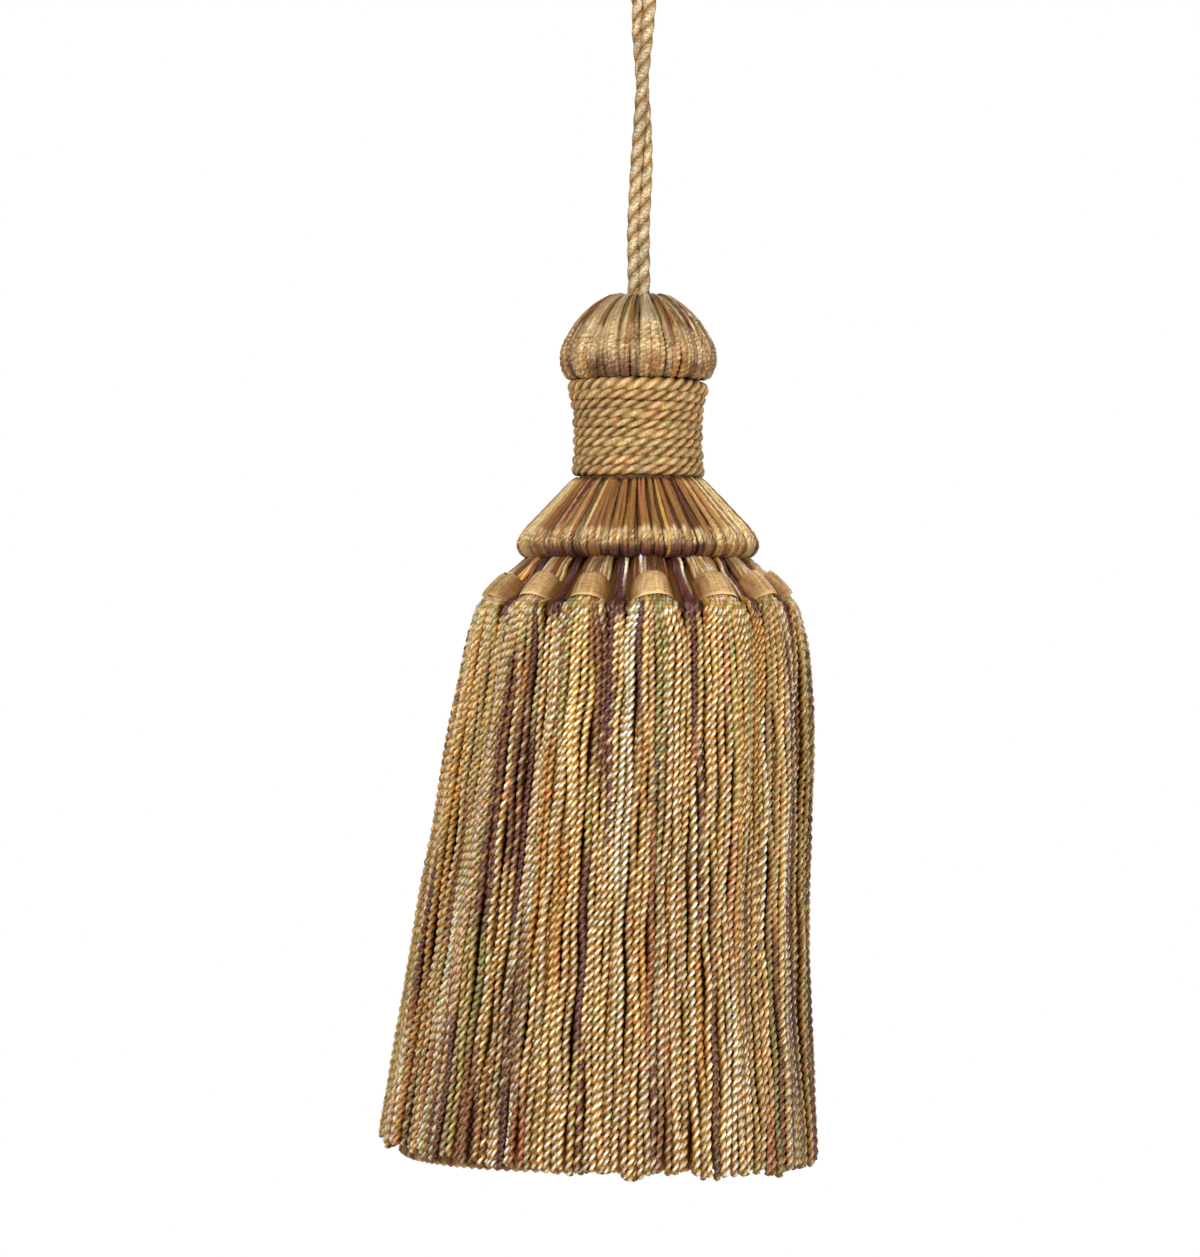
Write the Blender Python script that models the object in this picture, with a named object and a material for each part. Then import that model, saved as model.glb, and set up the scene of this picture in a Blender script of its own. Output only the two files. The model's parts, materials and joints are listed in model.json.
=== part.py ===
"""Key tassel hanging on its cord loop: a yarn-covered head, a neck wound with cord, a flared
bell, a ribbon woven through the heading, and a long skirt of twisted strands.

Metres, +Z up. The origin is at the top of the cord loop and the tassel hangs down -Z.
Angles run around the vertical axis from the front, -Y, towards +X.
"""

import math
from collections import namedtuple

import bmesh
import bpy
from mathutils import Vector

FULL_TURN = 2 * math.pi
CLEARANCE = 0.0003           # gap between neighbouring pieces

# hanging cord
CORD_DIAMETER = 0.0023
CORD_LAY = 0.0076            # length of one full twist of its two plies
CORD_SIDES = 8
CORD_STEPS_PER_LAY = 5
CORD_WAIST = 0.66            # section across the plies, as a share of the diameter

# turned pieces, from the crown down
HEAD_TOP = -0.0898
HEAD_HEIGHT = 0.0170
HEAD_RADIUS = 0.01575
NECK_HEIGHT = 0.0191
NECK_RADIUS = 0.0140
NECK_TURNS = 10
NECK_TOP_TURN = 1.3          # height of the fat top turn, in ordinary turns
NECK_GROOVE = 0.00055
NECK_PLIES = 18              # ply ridges around one turn
NECK_PLY_RELIEF = 0.00028
NECK_TURN_SHIFT = 1.6        # columns by which the plies slip from one turn to the next
BELL_HEIGHT = 0.0164
BELL_RADIUS = 0.02435
YARN_CREASE = 0.00050        # depth of the furrows between groups of covering yarn
CREASE_WAVES = ((11, 0.6), (17, 2.1), (26, 4.4))     # furrows per turn, and where they start

# heading of the skirt and the ribbon woven through it
GROUPS = 14                  # yarn groups that the ribbon passes over
GROUP_START = math.radians(7.2)
GROUP_BULGE = 0.0005
HEADING_HEIGHT = 0.0098
HEADING_RADIUS = 0.0321
RIBBON_WIDTH = 0.0060
RIBBON_THICKNESS = 0.0010
RIBBON_RADIUS = 0.0273       # of the middle of the ribbon, halfway through its weave
RIBBON_DROP = 0.0050         # of its middle, below the heading's top
RIBBON_WEAVE = 0.0019        # how far it swings out and in
RIBBON_SLOPE = math.radians(45)
RIBBON_STEPS = 6             # for each group

# strands of the skirt
COLUMNS = 84                 # strands around the outer layer
STRAND_THICKNESS = 0.0016
STRAND_GAP = 0.0006
STRAND_WANDER = 0.00012
HEM_UNEVEN = 0.0011
HEM_TILT = 0.0018            # the hem is lower on the right than on the left by twice this

Turned = namedtuple("Turned", "level radius crease oval", defaults=(0.0, 1.0))
Hang = namedtuple("Hang", "z radius sway")
Layer = namedtuple("Layer", "root inset first_row every")
Place = namedtuple("Place", "x y z")

# level: 0 at a piece's top and 1 at its foot; radius: share of the piece's greatest radius;
# crease: share of the furrow's depth; oval: depth of the ring as a share of its width
HEAD_SECTIONS = (
    Turned(level=0.095, radius=0.205, oval=0.60),
    Turned(level=0.020, radius=0.235, crease=0.2, oval=0.66),
    Turned(level=0.000, radius=0.330, crease=0.8, oval=0.85),
    Turned(level=0.047, radius=0.450, crease=1.0, oval=0.96),
    Turned(level=0.141, radius=0.600, crease=1.0),
    Turned(level=0.235, radius=0.707, crease=1.0),
    Turned(level=0.340, radius=0.805, crease=1.0),
    Turned(level=0.480, radius=0.900, crease=0.8),
    Turned(level=0.612, radius=0.972, crease=0.6),
    Turned(level=0.741, radius=1.000, crease=0.4),
    Turned(level=0.860, radius=0.975, crease=0.3),
    Turned(level=1.000, radius=0.890, crease=0.2),
)
NECK_SECTIONS = (
    Turned(level=0.00, radius=1.000),
    Turned(level=0.14, radius=1.000),
    Turned(level=0.30, radius=0.950),
    Turned(level=0.48, radius=0.925),
    Turned(level=1.00, radius=0.950),
)
BELL_SECTIONS = (
    Turned(level=0.000, radius=0.520),
    Turned(level=0.035, radius=0.555, crease=0.4),
    Turned(level=0.160, radius=0.636, crease=0.8),
    Turned(level=0.360, radius=0.764, crease=1.0),
    Turned(level=0.560, radius=0.893, crease=1.0),
    Turned(level=0.680, radius=0.962, crease=0.9),
    Turned(level=0.790, radius=0.997, crease=0.7),
    Turned(level=0.880, radius=0.990, crease=0.6),
    Turned(level=0.960, radius=0.950, crease=0.5),
    Turned(level=1.000, radius=0.880, crease=0.3),
)
HEADING_SECTIONS = (
    Turned(level=0.00, radius=0.700, crease=0.3),
    Turned(level=0.19, radius=0.776, crease=1.0),
    Turned(level=0.51, radius=0.880, crease=1.0),
    Turned(level=0.83, radius=0.972, crease=0.8),
)

# outer face of the skirt on its way down, and how far it swings to the side
SKIRT_SECTIONS = (
    Hang(z=-0.1560, radius=0.0332, sway=0.0),
    Hang(z=-0.1750, radius=0.0366, sway=-0.0011),
    Hang(z=-0.2150, radius=0.0395, sway=-0.0051),
    Hang(z=-0.2616, radius=0.0446, sway=-0.0082),
)
# root: outer radius where a layer leaves the heading; inset: how far it hangs behind the
# skirt's outer face; first_row: where it joins the rows above; every: columns with a strand
SKIRT_LAYERS = (
    Layer(root=0.0321, inset=0.0, first_row=0, every=1),
    Layer(root=0.0298, inset=0.0023, first_row=1, every=1),
    Layer(root=0.0272, inset=0.0056, first_row=1, every=3),
)

# the cord's route: up from the crown, across in front, around the loop and back behind
CORD_ROUTE = (
    Place(-0.00105, 0.0, -0.0911), Place(-0.00105, 0.0, -0.0880),
    Place(-0.00115, 0.0, -0.0820), Place(-0.00115, -0.00005, -0.0760),
    Place(-0.00080, -0.00030, -0.0700), Place(-0.00035, -0.00065, -0.0640),
    Place(0.00015, -0.00100, -0.0580), Place(0.00055, -0.00120, -0.0520),
    Place(0.00095, -0.00125, -0.0470), Place(0.00140, -0.00110, -0.0420),
    Place(0.00195, -0.00070, -0.0370), Place(0.00250, -0.00015, -0.0310),
    Place(0.00330, 0.0, -0.0240), Place(0.00430, 0.0, -0.0165),
    Place(0.00500, 0.0, -0.0100), Place(0.00480, 0.0, -0.0055),
    Place(0.00330, 0.0, -0.0024), Place(0.0, 0.0, -0.00115),
    Place(-0.00330, 0.0, -0.0024), Place(-0.00480, 0.0, -0.0055),
    Place(-0.00470, 0.0, -0.0100), Place(-0.00350, 0.0, -0.0165),
    Place(-0.00170, 0.0, -0.0240), Place(-0.00010, 0.00015, -0.0310),
    Place(0.00000, 0.00070, -0.0370), Place(0.00040, 0.00110, -0.0420),
    Place(0.00080, 0.00125, -0.0470), Place(0.00125, 0.00120, -0.0520),
    Place(0.00160, 0.00100, -0.0580), Place(0.00175, 0.00065, -0.0640),
    Place(0.00165, 0.00030, -0.0700), Place(0.00140, 0.00005, -0.0760),
    Place(0.00140, 0.0, -0.0820), Place(0.00145, 0.0, -0.0880),
    Place(0.00145, 0.0, -0.0911),
)

NECK_TOP = HEAD_TOP - HEAD_HEIGHT - CLEARANCE
BELL_TOP = NECK_TOP - NECK_HEIGHT - CLEARANCE
HEADING_TOP = BELL_TOP - BELL_HEIGHT - CLEARANCE
HEADING_FOOT = HEADING_TOP - HEADING_HEIGHT


def clear_objects():
    for old in list(bpy.data.objects):
        bpy.data.objects.remove(old, do_unlink=True)


def around(radius, angle, z, oval=1.0):
    """Point at an angle about the vertical axis."""
    return Vector((radius * math.sin(angle), -radius * oval * math.cos(angle), z))


def between(low, high, share):
    return low + (high - low) * share


def yarn_furrow(angle):
    """Uneven furrows between groups of yarn, from -1 to 1 around a turn."""
    waves = [math.sin(count * angle + start) for count, start in CREASE_WAVES]
    return sum(waves) / len(waves)


def group_wave(angle):
    """1 over a yarn group that the ribbon covers, -1 between two of them."""
    steepness = 1.6
    return math.tanh(steepness * math.cos(GROUPS * (angle - GROUP_START))) / math.tanh(steepness)


def wander(number, step):
    """An even spread between -1 and 1 that looks irregular, the same in every run."""
    return math.sin(number * 2.399 + step * 1.7) * math.cos(number * 0.731 + step)


def yarn_material(name, color, roughness):
    made = bpy.data.materials.new(name)
    made.use_nodes = True
    shader = made.node_tree.nodes["Principled BSDF"]
    shader.inputs["Base Color"].default_value = (*color, 1.0)
    shader.inputs["Roughness"].default_value = roughness
    shader.inputs["Metallic"].default_value = 0.0
    shader.inputs["Sheen Weight"].default_value = 0.3
    made.diffuse_color = (*color, 1.0)
    return made


def finish_object(name, bm, material, sharp_angle=50):
    bmesh.ops.recalc_face_normals(bm, faces=bm.faces)
    mesh = bpy.data.meshes.new(name)
    bm.to_mesh(mesh)
    bm.free()
    mesh.materials.append(material)
    mesh.shade_smooth()
    mesh.set_sharp_from_angle(angle=math.radians(sharp_angle))
    made = bpy.data.objects.new(name, mesh)
    bpy.context.scene.collection.objects.link(made)
    return made


def join_rings(bm, rings, closed=False):
    """Quads between neighbouring rings; a closed run joins the last ring to the first."""
    pairs = list(zip(rings, rings[1:]))
    if closed:
        pairs.append((rings[-1], rings[0]))
    for first, second in pairs:
        count = len(first)
        for i in range(count):
            j = (i + 1) % count
            bm.faces.new((first[i], first[j], second[j], second[i]))


def turned_points(sections, top, height, radius, columns, depth):
    """Rings of a turned piece whose surface has yarn furrows, from its top down."""
    rings = []
    for section in sections:
        ring = []
        for column in range(columns):
            angle = FULL_TURN * column / columns
            furrow = yarn_furrow(angle) * depth * section.crease
            ring.append(around(section.radius * radius + furrow, angle,
                               top - section.level * height, section.oval))
        rings.append(ring)
    return rings


def turned_piece(name, rings, material):
    """Closed solid through rings of points, with a flat face at each end."""
    bm = bmesh.new()
    rows = [[bm.verts.new(point) for point in ring] for ring in rings]
    join_rings(bm, rows)
    bm.faces.new(rows[0])
    bm.faces.new(rows[-1])
    return finish_object(name, bm, material)


def build_head(material):
    rings = turned_points(HEAD_SECTIONS, HEAD_TOP, HEAD_HEIGHT, HEAD_RADIUS, 60, YARN_CREASE)
    return turned_piece("head_cover", rings, material)


def neck_radius(level):
    """Radius of the winding at a level, read between the rows of its table."""
    for upper, lower in zip(NECK_SECTIONS, NECK_SECTIONS[1:]):
        if level <= lower.level:
            share = (level - upper.level) / (lower.level - upper.level)
            return NECK_RADIUS * between(upper.radius, lower.radius, share)
    return NECK_RADIUS * NECK_SECTIONS[-1].radius


def build_neck(material):
    """Cord wound turn on turn: each turn is a groove and two crest rings with slanting plies."""
    columns_per_ply = 3
    columns = NECK_PLIES * columns_per_ply
    turn_share = 1 / (NECK_TURNS - 1 + NECK_TOP_TURN)
    rings = []
    level = 0.0
    for turn in range(NECK_TURNS):
        height = turn_share * (NECK_TOP_TURN if turn == 0 else 1.0)
        for part, ring_share in enumerate((0.0, 0.3, 0.7)):
            at = level + height * ring_share
            ring = []
            for column in range(columns):
                phase = FULL_TURN * (column + part + NECK_TURN_SHIFT * turn) / columns_per_ply
                swell = -NECK_GROOVE if part == 0 else NECK_PLY_RELIEF * math.cos(phase)
                ring.append(around(neck_radius(at) + swell, FULL_TURN * column / columns,
                                   NECK_TOP - at * NECK_HEIGHT))
            rings.append(ring)
        level += height
    foot = [around(neck_radius(1.0) - NECK_GROOVE, FULL_TURN * column / columns,
                   NECK_TOP - NECK_HEIGHT) for column in range(columns)]
    rings.append(foot)
    return turned_piece("neck_cord", rings, material)


def build_bell(material):
    rings = turned_points(BELL_SECTIONS, BELL_TOP, BELL_HEIGHT, BELL_RADIUS, 60, YARN_CREASE)
    return turned_piece("bell_cover", rings, material)


def ribbon_body(name, spare, material):
    """Ribbon woven over and under the yarn groups; spare thickens it on every side."""
    half_width = RIBBON_WIDTH / 2 + spare
    half_thickness = RIBBON_THICKNESS / 2 + spare
    across = (math.sin(RIBBON_SLOPE), -math.cos(RIBBON_SLOPE))
    outward = (math.cos(RIBBON_SLOPE), math.sin(RIBBON_SLOPE))
    bm = bmesh.new()
    rings = []
    for step in range(GROUPS * RIBBON_STEPS):
        angle = GROUP_START + FULL_TURN * step / (GROUPS * RIBBON_STEPS)
        middle = RIBBON_RADIUS + RIBBON_WEAVE * group_wave(angle)
        ring = []
        for along, out in ((-1, 1), (1, 1), (1, -1), (-1, -1)):
            radius = middle + along * half_width * across[0] + out * half_thickness * outward[0]
            z = (HEADING_TOP - RIBBON_DROP + along * half_width * across[1]
                 + out * half_thickness * outward[1])
            ring.append(bm.verts.new(around(radius, angle, z)))
        rings.append(ring)
    join_rings(bm, rings, closed=True)
    return finish_object(name, bm, material)


def strand_corners(section, layer, column, hem):
    """Four corners of a strand at one section: outer left, outer right, inner right, left."""
    step = FULL_TURN / COLUMNS
    stagger = 0.5 * (SKIRT_LAYERS.index(layer) % 2)
    outer = section.radius - layer.inset
    inner = outer - STRAND_THICKNESS
    angle = (column + stagger) * step + wander(column, section.z * 100) * STRAND_WANDER / outer
    half = 0.5 * (step - STRAND_GAP / inner)
    z = section.z
    if hem:
        z += wander(column, 5) * HEM_UNEVEN - HEM_TILT * math.sin(angle)
    corners = []
    for radius, side in ((outer, -1), (outer, 1), (inner, 1), (inner, -1)):
        corners.append(around(radius, angle + side * half, z) + Vector((section.sway, 0, 0)))
    return corners


def heading_surface(bm):
    """Outer face of the heading, with a bulge for each yarn group, and its flat top."""
    rings = []
    for section in HEADING_SECTIONS:
        ring = []
        for column in range(COLUMNS):
            angle = FULL_TURN * (column - 0.5) / COLUMNS
            bulge = GROUP_BULGE * group_wave(angle) * section.crease
            ring.append(bm.verts.new(around(section.radius * HEADING_RADIUS + bulge, angle,
                                            HEADING_TOP - section.level * HEADING_HEIGHT)))
        rings.append(ring)
    join_rings(bm, rings)
    bm.faces.new(rings[0])
    return rings[-1]


def layer_roots(bm, layer):
    """The four corners of each strand's root on the heading's underside."""
    root = Hang(z=HEADING_FOOT, radius=layer.root + layer.inset, sway=0.0)
    return [[bm.verts.new(point) for point in strand_corners(root, layer, column, False)]
            for column in range(COLUMNS)]


def close_underside(bm, rim, roots):
    """Faces from the heading's rim to the outer roots, and between the layers of roots."""
    for i in range(COLUMNS):
        j = (i + 1) % COLUMNS
        bm.faces.new((rim[i], rim[j], roots[0][i][1], roots[0][i][0]))
        bm.faces.new((rim[j], roots[0][j][0], roots[0][i][1]))
    for cells in roots:
        for i in range(COLUMNS):
            j = (i + 1) % COLUMNS
            bm.faces.new((cells[i][1], cells[j][0], cells[j][3], cells[i][2]))
    for number, (upper, lower) in enumerate(zip(roots, roots[1:])):
        for i in range(COLUMNS):
            j = (i + 1) % COLUMNS
            facing = j if number % 2 else i
            under = lower[facing]
            beside = lower[facing - 1]
            bm.faces.new((upper[i][2], upper[j][3], under[1], under[0]))
            bm.faces.new((upper[i][3], upper[i][2], under[0], beside[1]))
    inner_edge = [corner for cell in roots[-1] for corner in (cell[3], cell[2])]
    bm.faces.new(inner_edge)


def grow_strands(bm, layer, cells):
    """Each root runs down through the skirt's sections to the uneven hem."""
    for column in range(COLUMNS):
        if column % layer.every:
            bm.faces.new(cells[column])
            continue
        rings = [cells[column]]
        for row in SKIRT_SECTIONS[layer.first_row:]:
            corners = strand_corners(row, layer, column, row is SKIRT_SECTIONS[-1])
            rings.append([bm.verts.new(corner) for corner in corners])
        join_rings(bm, rings)
        bm.faces.new(rings[-1])


def build_skirt(material, cutter):
    bm = bmesh.new()
    rim = heading_surface(bm)
    roots = [layer_roots(bm, layer) for layer in SKIRT_LAYERS]
    close_underside(bm, rim, roots)
    for layer, cells in zip(SKIRT_LAYERS, roots):
        grow_strands(bm, layer, cells)
    skirt = finish_object("skirt", bm, material, sharp_angle=35)
    slot = skirt.modifiers.new("ribbon slot", "BOOLEAN")
    slot.operation = "DIFFERENCE"
    slot.solver = "EXACT"
    slot.object = cutter
    return skirt


def smooth_route(route, steps):
    """Points of a smooth curve through the route's own points."""
    points = [Vector(place) for place in route]
    padded = [2 * points[0] - points[1], *points, 2 * points[-1] - points[-2]]
    curve = []
    for i in range(1, len(padded) - 2):
        before, start, end, after = padded[i - 1:i + 3]
        for step in range(steps):
            t = step / steps
            curve.append(0.5 * (2 * start + (end - before) * t
                                + (2 * before - 5 * start + 4 * end - after) * t ** 2
                                + (3 * start - before - 3 * end + after) * t ** 3))
    curve.append(points[-1])
    return curve


def even_steps(curve, spacing):
    """The curve read again at equal steps along its length."""
    lengths = [0.0]
    for first, second in zip(curve, curve[1:]):
        lengths.append(lengths[-1] + (second - first).length)
    count = round(lengths[-1] / spacing)
    points = []
    at = 0
    for step in range(count + 1):
        target = lengths[-1] * step / count
        while at < len(curve) - 2 and lengths[at + 1] < target:
            at += 1
        share = (target - lengths[at]) / (lengths[at + 1] - lengths[at])
        points.append(curve[at].lerp(curve[at + 1], share))
    return points


def build_cord(material):
    """Two plies laid round each other: a waisted section that turns as it follows the route."""
    spacing = CORD_LAY / CORD_STEPS_PER_LAY
    path = even_steps(smooth_route(CORD_ROUTE, 12), spacing)
    bm = bmesh.new()
    rings = []
    for number, center in enumerate(path):
        ahead = path[min(number + 1, len(path) - 1)]
        behind = path[max(number - 1, 0)]
        tangent = (ahead - behind).normalized()
        side = tangent.cross(Vector((0, 1, 0))).normalized()
        front = side.cross(tangent)
        twist = FULL_TURN * number / CORD_STEPS_PER_LAY
        ring = []
        for corner in range(CORD_SIDES):
            angle = FULL_TURN * corner / CORD_SIDES
            lobe = abs(math.cos(angle))
            radius = CORD_DIAMETER / 2 * between(CORD_WAIST, 1.0, lobe)
            turned = angle + twist
            ring.append(bm.verts.new(center + radius * (math.cos(turned) * side
                                                        + math.sin(turned) * front)))
        rings.append(ring)
    join_rings(bm, rings)
    bm.faces.new(rings[0])
    bm.faces.new(rings[-1])
    return finish_object("loop_cord", bm, material)


def main():
    clear_objects()
    gold = yarn_material("gold yarn", (0.42, 0.25, 0.09), 0.45)
    cord_gold = yarn_material("gold cord", (0.50, 0.31, 0.12), 0.45)
    tan = yarn_material("tan yarn", (0.36, 0.19, 0.07), 0.45)
    mixed = yarn_material("mixed bullion", (0.33, 0.21, 0.08), 0.5)
    satin = yarn_material("satin ribbon", (0.48, 0.28, 0.09), 0.35)
    build_cord(cord_gold)
    build_head(gold)
    build_neck(cord_gold)
    build_bell(tan)
    ribbon_body("ribbon", 0.0, satin)
    cutter = ribbon_body("ribbon_slot", CLEARANCE, satin)
    cutter.hide_render = True
    cutter.display_type = "WIRE"
    build_skirt(mixed, cutter)


main()
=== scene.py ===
import bpy
import json
import math
import random
import numpy as np
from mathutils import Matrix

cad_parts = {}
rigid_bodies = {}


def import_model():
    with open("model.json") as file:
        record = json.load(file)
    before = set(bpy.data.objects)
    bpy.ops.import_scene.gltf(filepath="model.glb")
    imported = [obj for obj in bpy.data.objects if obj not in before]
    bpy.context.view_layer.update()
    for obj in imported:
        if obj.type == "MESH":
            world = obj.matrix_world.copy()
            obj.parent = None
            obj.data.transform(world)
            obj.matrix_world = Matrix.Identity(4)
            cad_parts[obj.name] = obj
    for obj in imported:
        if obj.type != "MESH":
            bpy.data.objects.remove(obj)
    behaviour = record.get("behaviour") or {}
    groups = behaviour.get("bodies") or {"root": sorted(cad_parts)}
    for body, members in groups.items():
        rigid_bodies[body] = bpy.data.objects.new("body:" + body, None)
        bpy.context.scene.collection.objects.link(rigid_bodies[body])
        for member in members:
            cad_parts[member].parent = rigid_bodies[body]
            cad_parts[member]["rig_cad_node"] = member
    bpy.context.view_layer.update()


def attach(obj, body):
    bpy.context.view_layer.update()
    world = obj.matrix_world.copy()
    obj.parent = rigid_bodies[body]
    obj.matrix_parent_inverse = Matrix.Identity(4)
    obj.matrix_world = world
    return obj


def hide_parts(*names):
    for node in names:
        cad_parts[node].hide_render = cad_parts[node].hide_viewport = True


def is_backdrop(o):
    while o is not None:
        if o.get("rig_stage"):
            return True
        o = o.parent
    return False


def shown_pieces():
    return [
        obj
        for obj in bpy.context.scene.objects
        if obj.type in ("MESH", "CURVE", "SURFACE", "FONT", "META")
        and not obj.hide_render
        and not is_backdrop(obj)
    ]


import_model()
bpy.ops.object.select_all(action="DESELECT")
print("frame loaded")


def linear(red, green, blue):
    out = []
    for value in (red, green, blue):
        value = value / 255.0
        out.append(value / 12.92 if value <= 0.04045 else ((value + 0.055) / 1.055) ** 2.4)
    return tuple(out)


def smoothstep(low, high, value):
    t = np.clip((value - low) / (high - low), 0.0, 1.0)
    return t * t * (3.0 - 2.0 * t)


def smoothTable(rows, steps):  # Catmull-Rom through the rows of a short table
    rows = np.array(rows, float)
    padded = np.vstack([2 * rows[0] - rows[1], rows, 2 * rows[-1] - rows[-2]])
    out = []
    for i in range(len(rows) - 1):
        a, b, c, d = padded[i], padded[i + 1], padded[i + 2], padded[i + 3]
        for k in range(steps):
            t = k / steps
            out.append(0.5 * (2 * b + (c - a) * t + (2 * a - 5 * b + 4 * c - d) * t ** 2
                              + (3 * b - a - 3 * c + d) * t ** 3))
    out.append(rows[-1])
    return np.array(out)


def arcLength(points):
    gaps = np.linalg.norm(np.diff(points, axis=-2), axis=-1)
    zero = np.zeros(gaps.shape[:-1] + (1,))
    return np.concatenate([zero, np.cumsum(gaps, axis=-1)], axis=-1)


def evenly(points, count, axes=3):  # the same line at equal steps, measured over its first columns
    s = arcLength(points[:, :axes])
    at = np.linspace(0.0, s[-1], count)
    return np.stack([np.interp(at, s, points[:, k]) for k in range(points.shape[1])], axis=1)


def unit(vectors):
    return vectors / np.maximum(np.linalg.norm(vectors, axis=-1, keepdims=True), 1e-12)


def settleObject(obj, node, material):
    obj.data.materials.clear()
    obj.data.materials.append(material)
    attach(obj, "root")
    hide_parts(node)


def makeMesh(name, points, faces, uvs=None):  # faces: list of (count, corners) index arrays
    mesh = bpy.data.meshes.new(name)
    mesh.vertices.add(len(points))
    mesh.vertices.foreach_set("co", np.ascontiguousarray(points, dtype=np.float32).ravel())
    corners = np.concatenate([f.ravel() for f in faces]).astype(np.int32)
    sizes = np.concatenate([np.full(len(f), f.shape[1]) for f in faces])
    starts = np.concatenate([[0], np.cumsum(sizes)[:-1]]).astype(np.int32)
    mesh.loops.add(len(corners))
    mesh.loops.foreach_set("vertex_index", corners)
    mesh.polygons.add(len(sizes))
    mesh.polygons.foreach_set("loop_start", starts)
    mesh.polygons.foreach_set("use_smooth", np.ones(len(sizes), dtype=bool))
    if uvs is not None:
        layer = mesh.uv_layers.new(name="yarnUv")
        flatUvs = np.concatenate([u.reshape(-1, 2) for u in uvs]).astype(np.float32)
        layer.data.foreach_set("uv", flatUvs.ravel())
    mesh.update(calc_edges=True)
    mesh.validate()
    obj = bpy.data.objects.new(name, mesh)
    bpy.context.scene.collection.objects.link(obj)
    return obj


def around(reach, theta, z):  # points at an angle from the front, which faces -Y
    return np.stack(np.broadcast_arrays(reach * np.sin(theta), -reach * np.cos(theta), z), axis=-1)


def closeEditing():  # faces outward, then back to the whole object
    bpy.ops.mesh.select_all(action="SELECT")
    bpy.ops.mesh.normals_make_consistent(inside=False)
    bpy.ops.object.mode_set(mode="OBJECT")


def plyProfile(sides, waist, plies=2):
    # round plies side by side: the reach round the cord is 1 on a ply and waist between two
    angle = np.arange(sides) / sides * 2 * math.pi
    offset, half = 0.45, math.pi / plies
    low, high = offset * math.sin(half) + 1e-6, 20.0
    for _ in range(50):  # halves the range until the plies meet at the waist
        ply = (low + high) / 2
        between = offset * math.cos(half) + math.sqrt(ply ** 2 - (offset * math.sin(half)) ** 2)
        low, high = (ply, high) if between / (offset + ply) < waist else (low, ply)
    turned = (angle + half) % (2 * half) - half
    reach = offset * np.cos(turned) + np.sqrt(ply ** 2 - (offset * np.sin(turned)) ** 2)
    return angle, reach / (offset + ply)


def layYarns(name, centre, normal, radius, turn, colour, sides, waist, relief=None, plies=2,
             flankShade=0.0):
    # n yarns of m rings: centre and normal (n, m, 3), radius and turn (n, m), colour (n, m, 3),
    # or (n, m, 2, 3) with one for each ply
    n, m = radius.shape
    tangent = unit(np.gradient(centre, axis=1))
    normal = unit(normal - (normal * tangent).sum(-1, keepdims=True) * tangent)
    side = np.cross(tangent, normal)
    angle, reach = plyProfile(sides, waist, plies)
    if relief is None:
        relief = np.ones((n, m))
    lowest = reach.min()
    reach = 1.0 - (1.0 - reach)[None, None, :] * relief[:, :, None]
    phi = turn[:, :, None] + angle[None, None, :]
    r = radius[:, :, None] * reach
    ring = (centre[:, :, None, :] + (r * np.cos(phi))[..., None] * normal[:, :, None, :]
            + (r * np.sin(phi))[..., None] * side[:, :, None, :])
    poles = centre[:, [0, -1], :] + np.stack([-tangent[:, 0] * radius[:, [0]] * 0.5,
                                              tangent[:, -1] * radius[:, [-1]] * 0.5], axis=1)
    perYarn = m * sides + 2
    points = np.concatenate([ring.reshape(n, m * sides, 3), poles], axis=1).reshape(-1, 3)
    j = np.arange(sides)
    k = np.arange(m - 1)
    a = k[:, None] * sides + j[None, :]
    b = k[:, None] * sides + (j[None, :] + 1) % sides
    quads = np.stack([a, b, b + sides, a + sides], axis=-1).reshape(-1, 4)
    top = np.stack([np.full(sides, m * sides), (j + 1) % sides, j], axis=-1)
    last = (m - 1) * sides
    end = np.stack([np.full(sides, m * sides + 1), last + j, last + (j + 1) % sides], axis=-1)
    shift = (np.arange(n) * perYarn)[:, None, None]
    s = arcLength(centre)
    u0 = np.broadcast_to(j[None, None, :] / sides, (n, m - 1, sides))
    u1 = u0 + 1.0 / sides
    along = s * 100 + np.arange(n)[:, None] * 1.7  # each yarn starts at its own place in the pattern
    v0 = np.broadcast_to(along[:, :-1, None], u0.shape)
    v1 = np.broadcast_to(along[:, 1:, None], u0.shape)
    quadUv = np.stack([np.stack([u0, v0], -1), np.stack([u1, v0], -1),
                       np.stack([u1, v1], -1), np.stack([u0, v1], -1)], axis=3)
    capUv = np.zeros((n * 2 * sides, 3, 2))
    capUv[..., 0] = 0.5
    capUv[..., 1] = np.repeat(s[:, -1] * 100, 2 * sides)[:, None]
    caps = np.concatenate([top, end])[None] + shift
    obj = makeMesh(name, points, [(quads[None] + shift).reshape(-1, 4), caps.reshape(-1, 3)],
                   [quadUv, capUv])
    rgb = np.ones((n, perYarn, 4), dtype=np.float32)
    if colour.ndim == 3:
        colour = np.stack([colour, colour], axis=2)
    share = (0.5 + 0.5 * np.clip(np.cos(angle) * 3, -1, 1))[None, None, :, None]
    mixed = colour[:, :, None, 0] * share + colour[:, :, None, 1] * (1 - share)
    rgb[:, :m * sides, :3] = mixed.reshape(n, m * sides, 3)
    rgb[:, -2, :3] = colour[:, 0].mean(axis=1)
    rgb[:, -1, :3] = colour[:, -1].mean(axis=1)
    shadeMask = np.ones((n, perYarn), dtype=np.float32)
    flankLit = 1.0 - flankShade * smoothstep(0.98, 0.36, np.cos(phi))  # painted shade: the flanks are darker where they lie against the next yarn
    shadeMask[:, :m * sides] = (np.clip(1.0 - (1.0 - reach) / (1.0 - lowest), 0, 1) * flankLit).reshape(n, -1)
    paintPoints(obj, rgb, shadeMask)
    return obj


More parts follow.
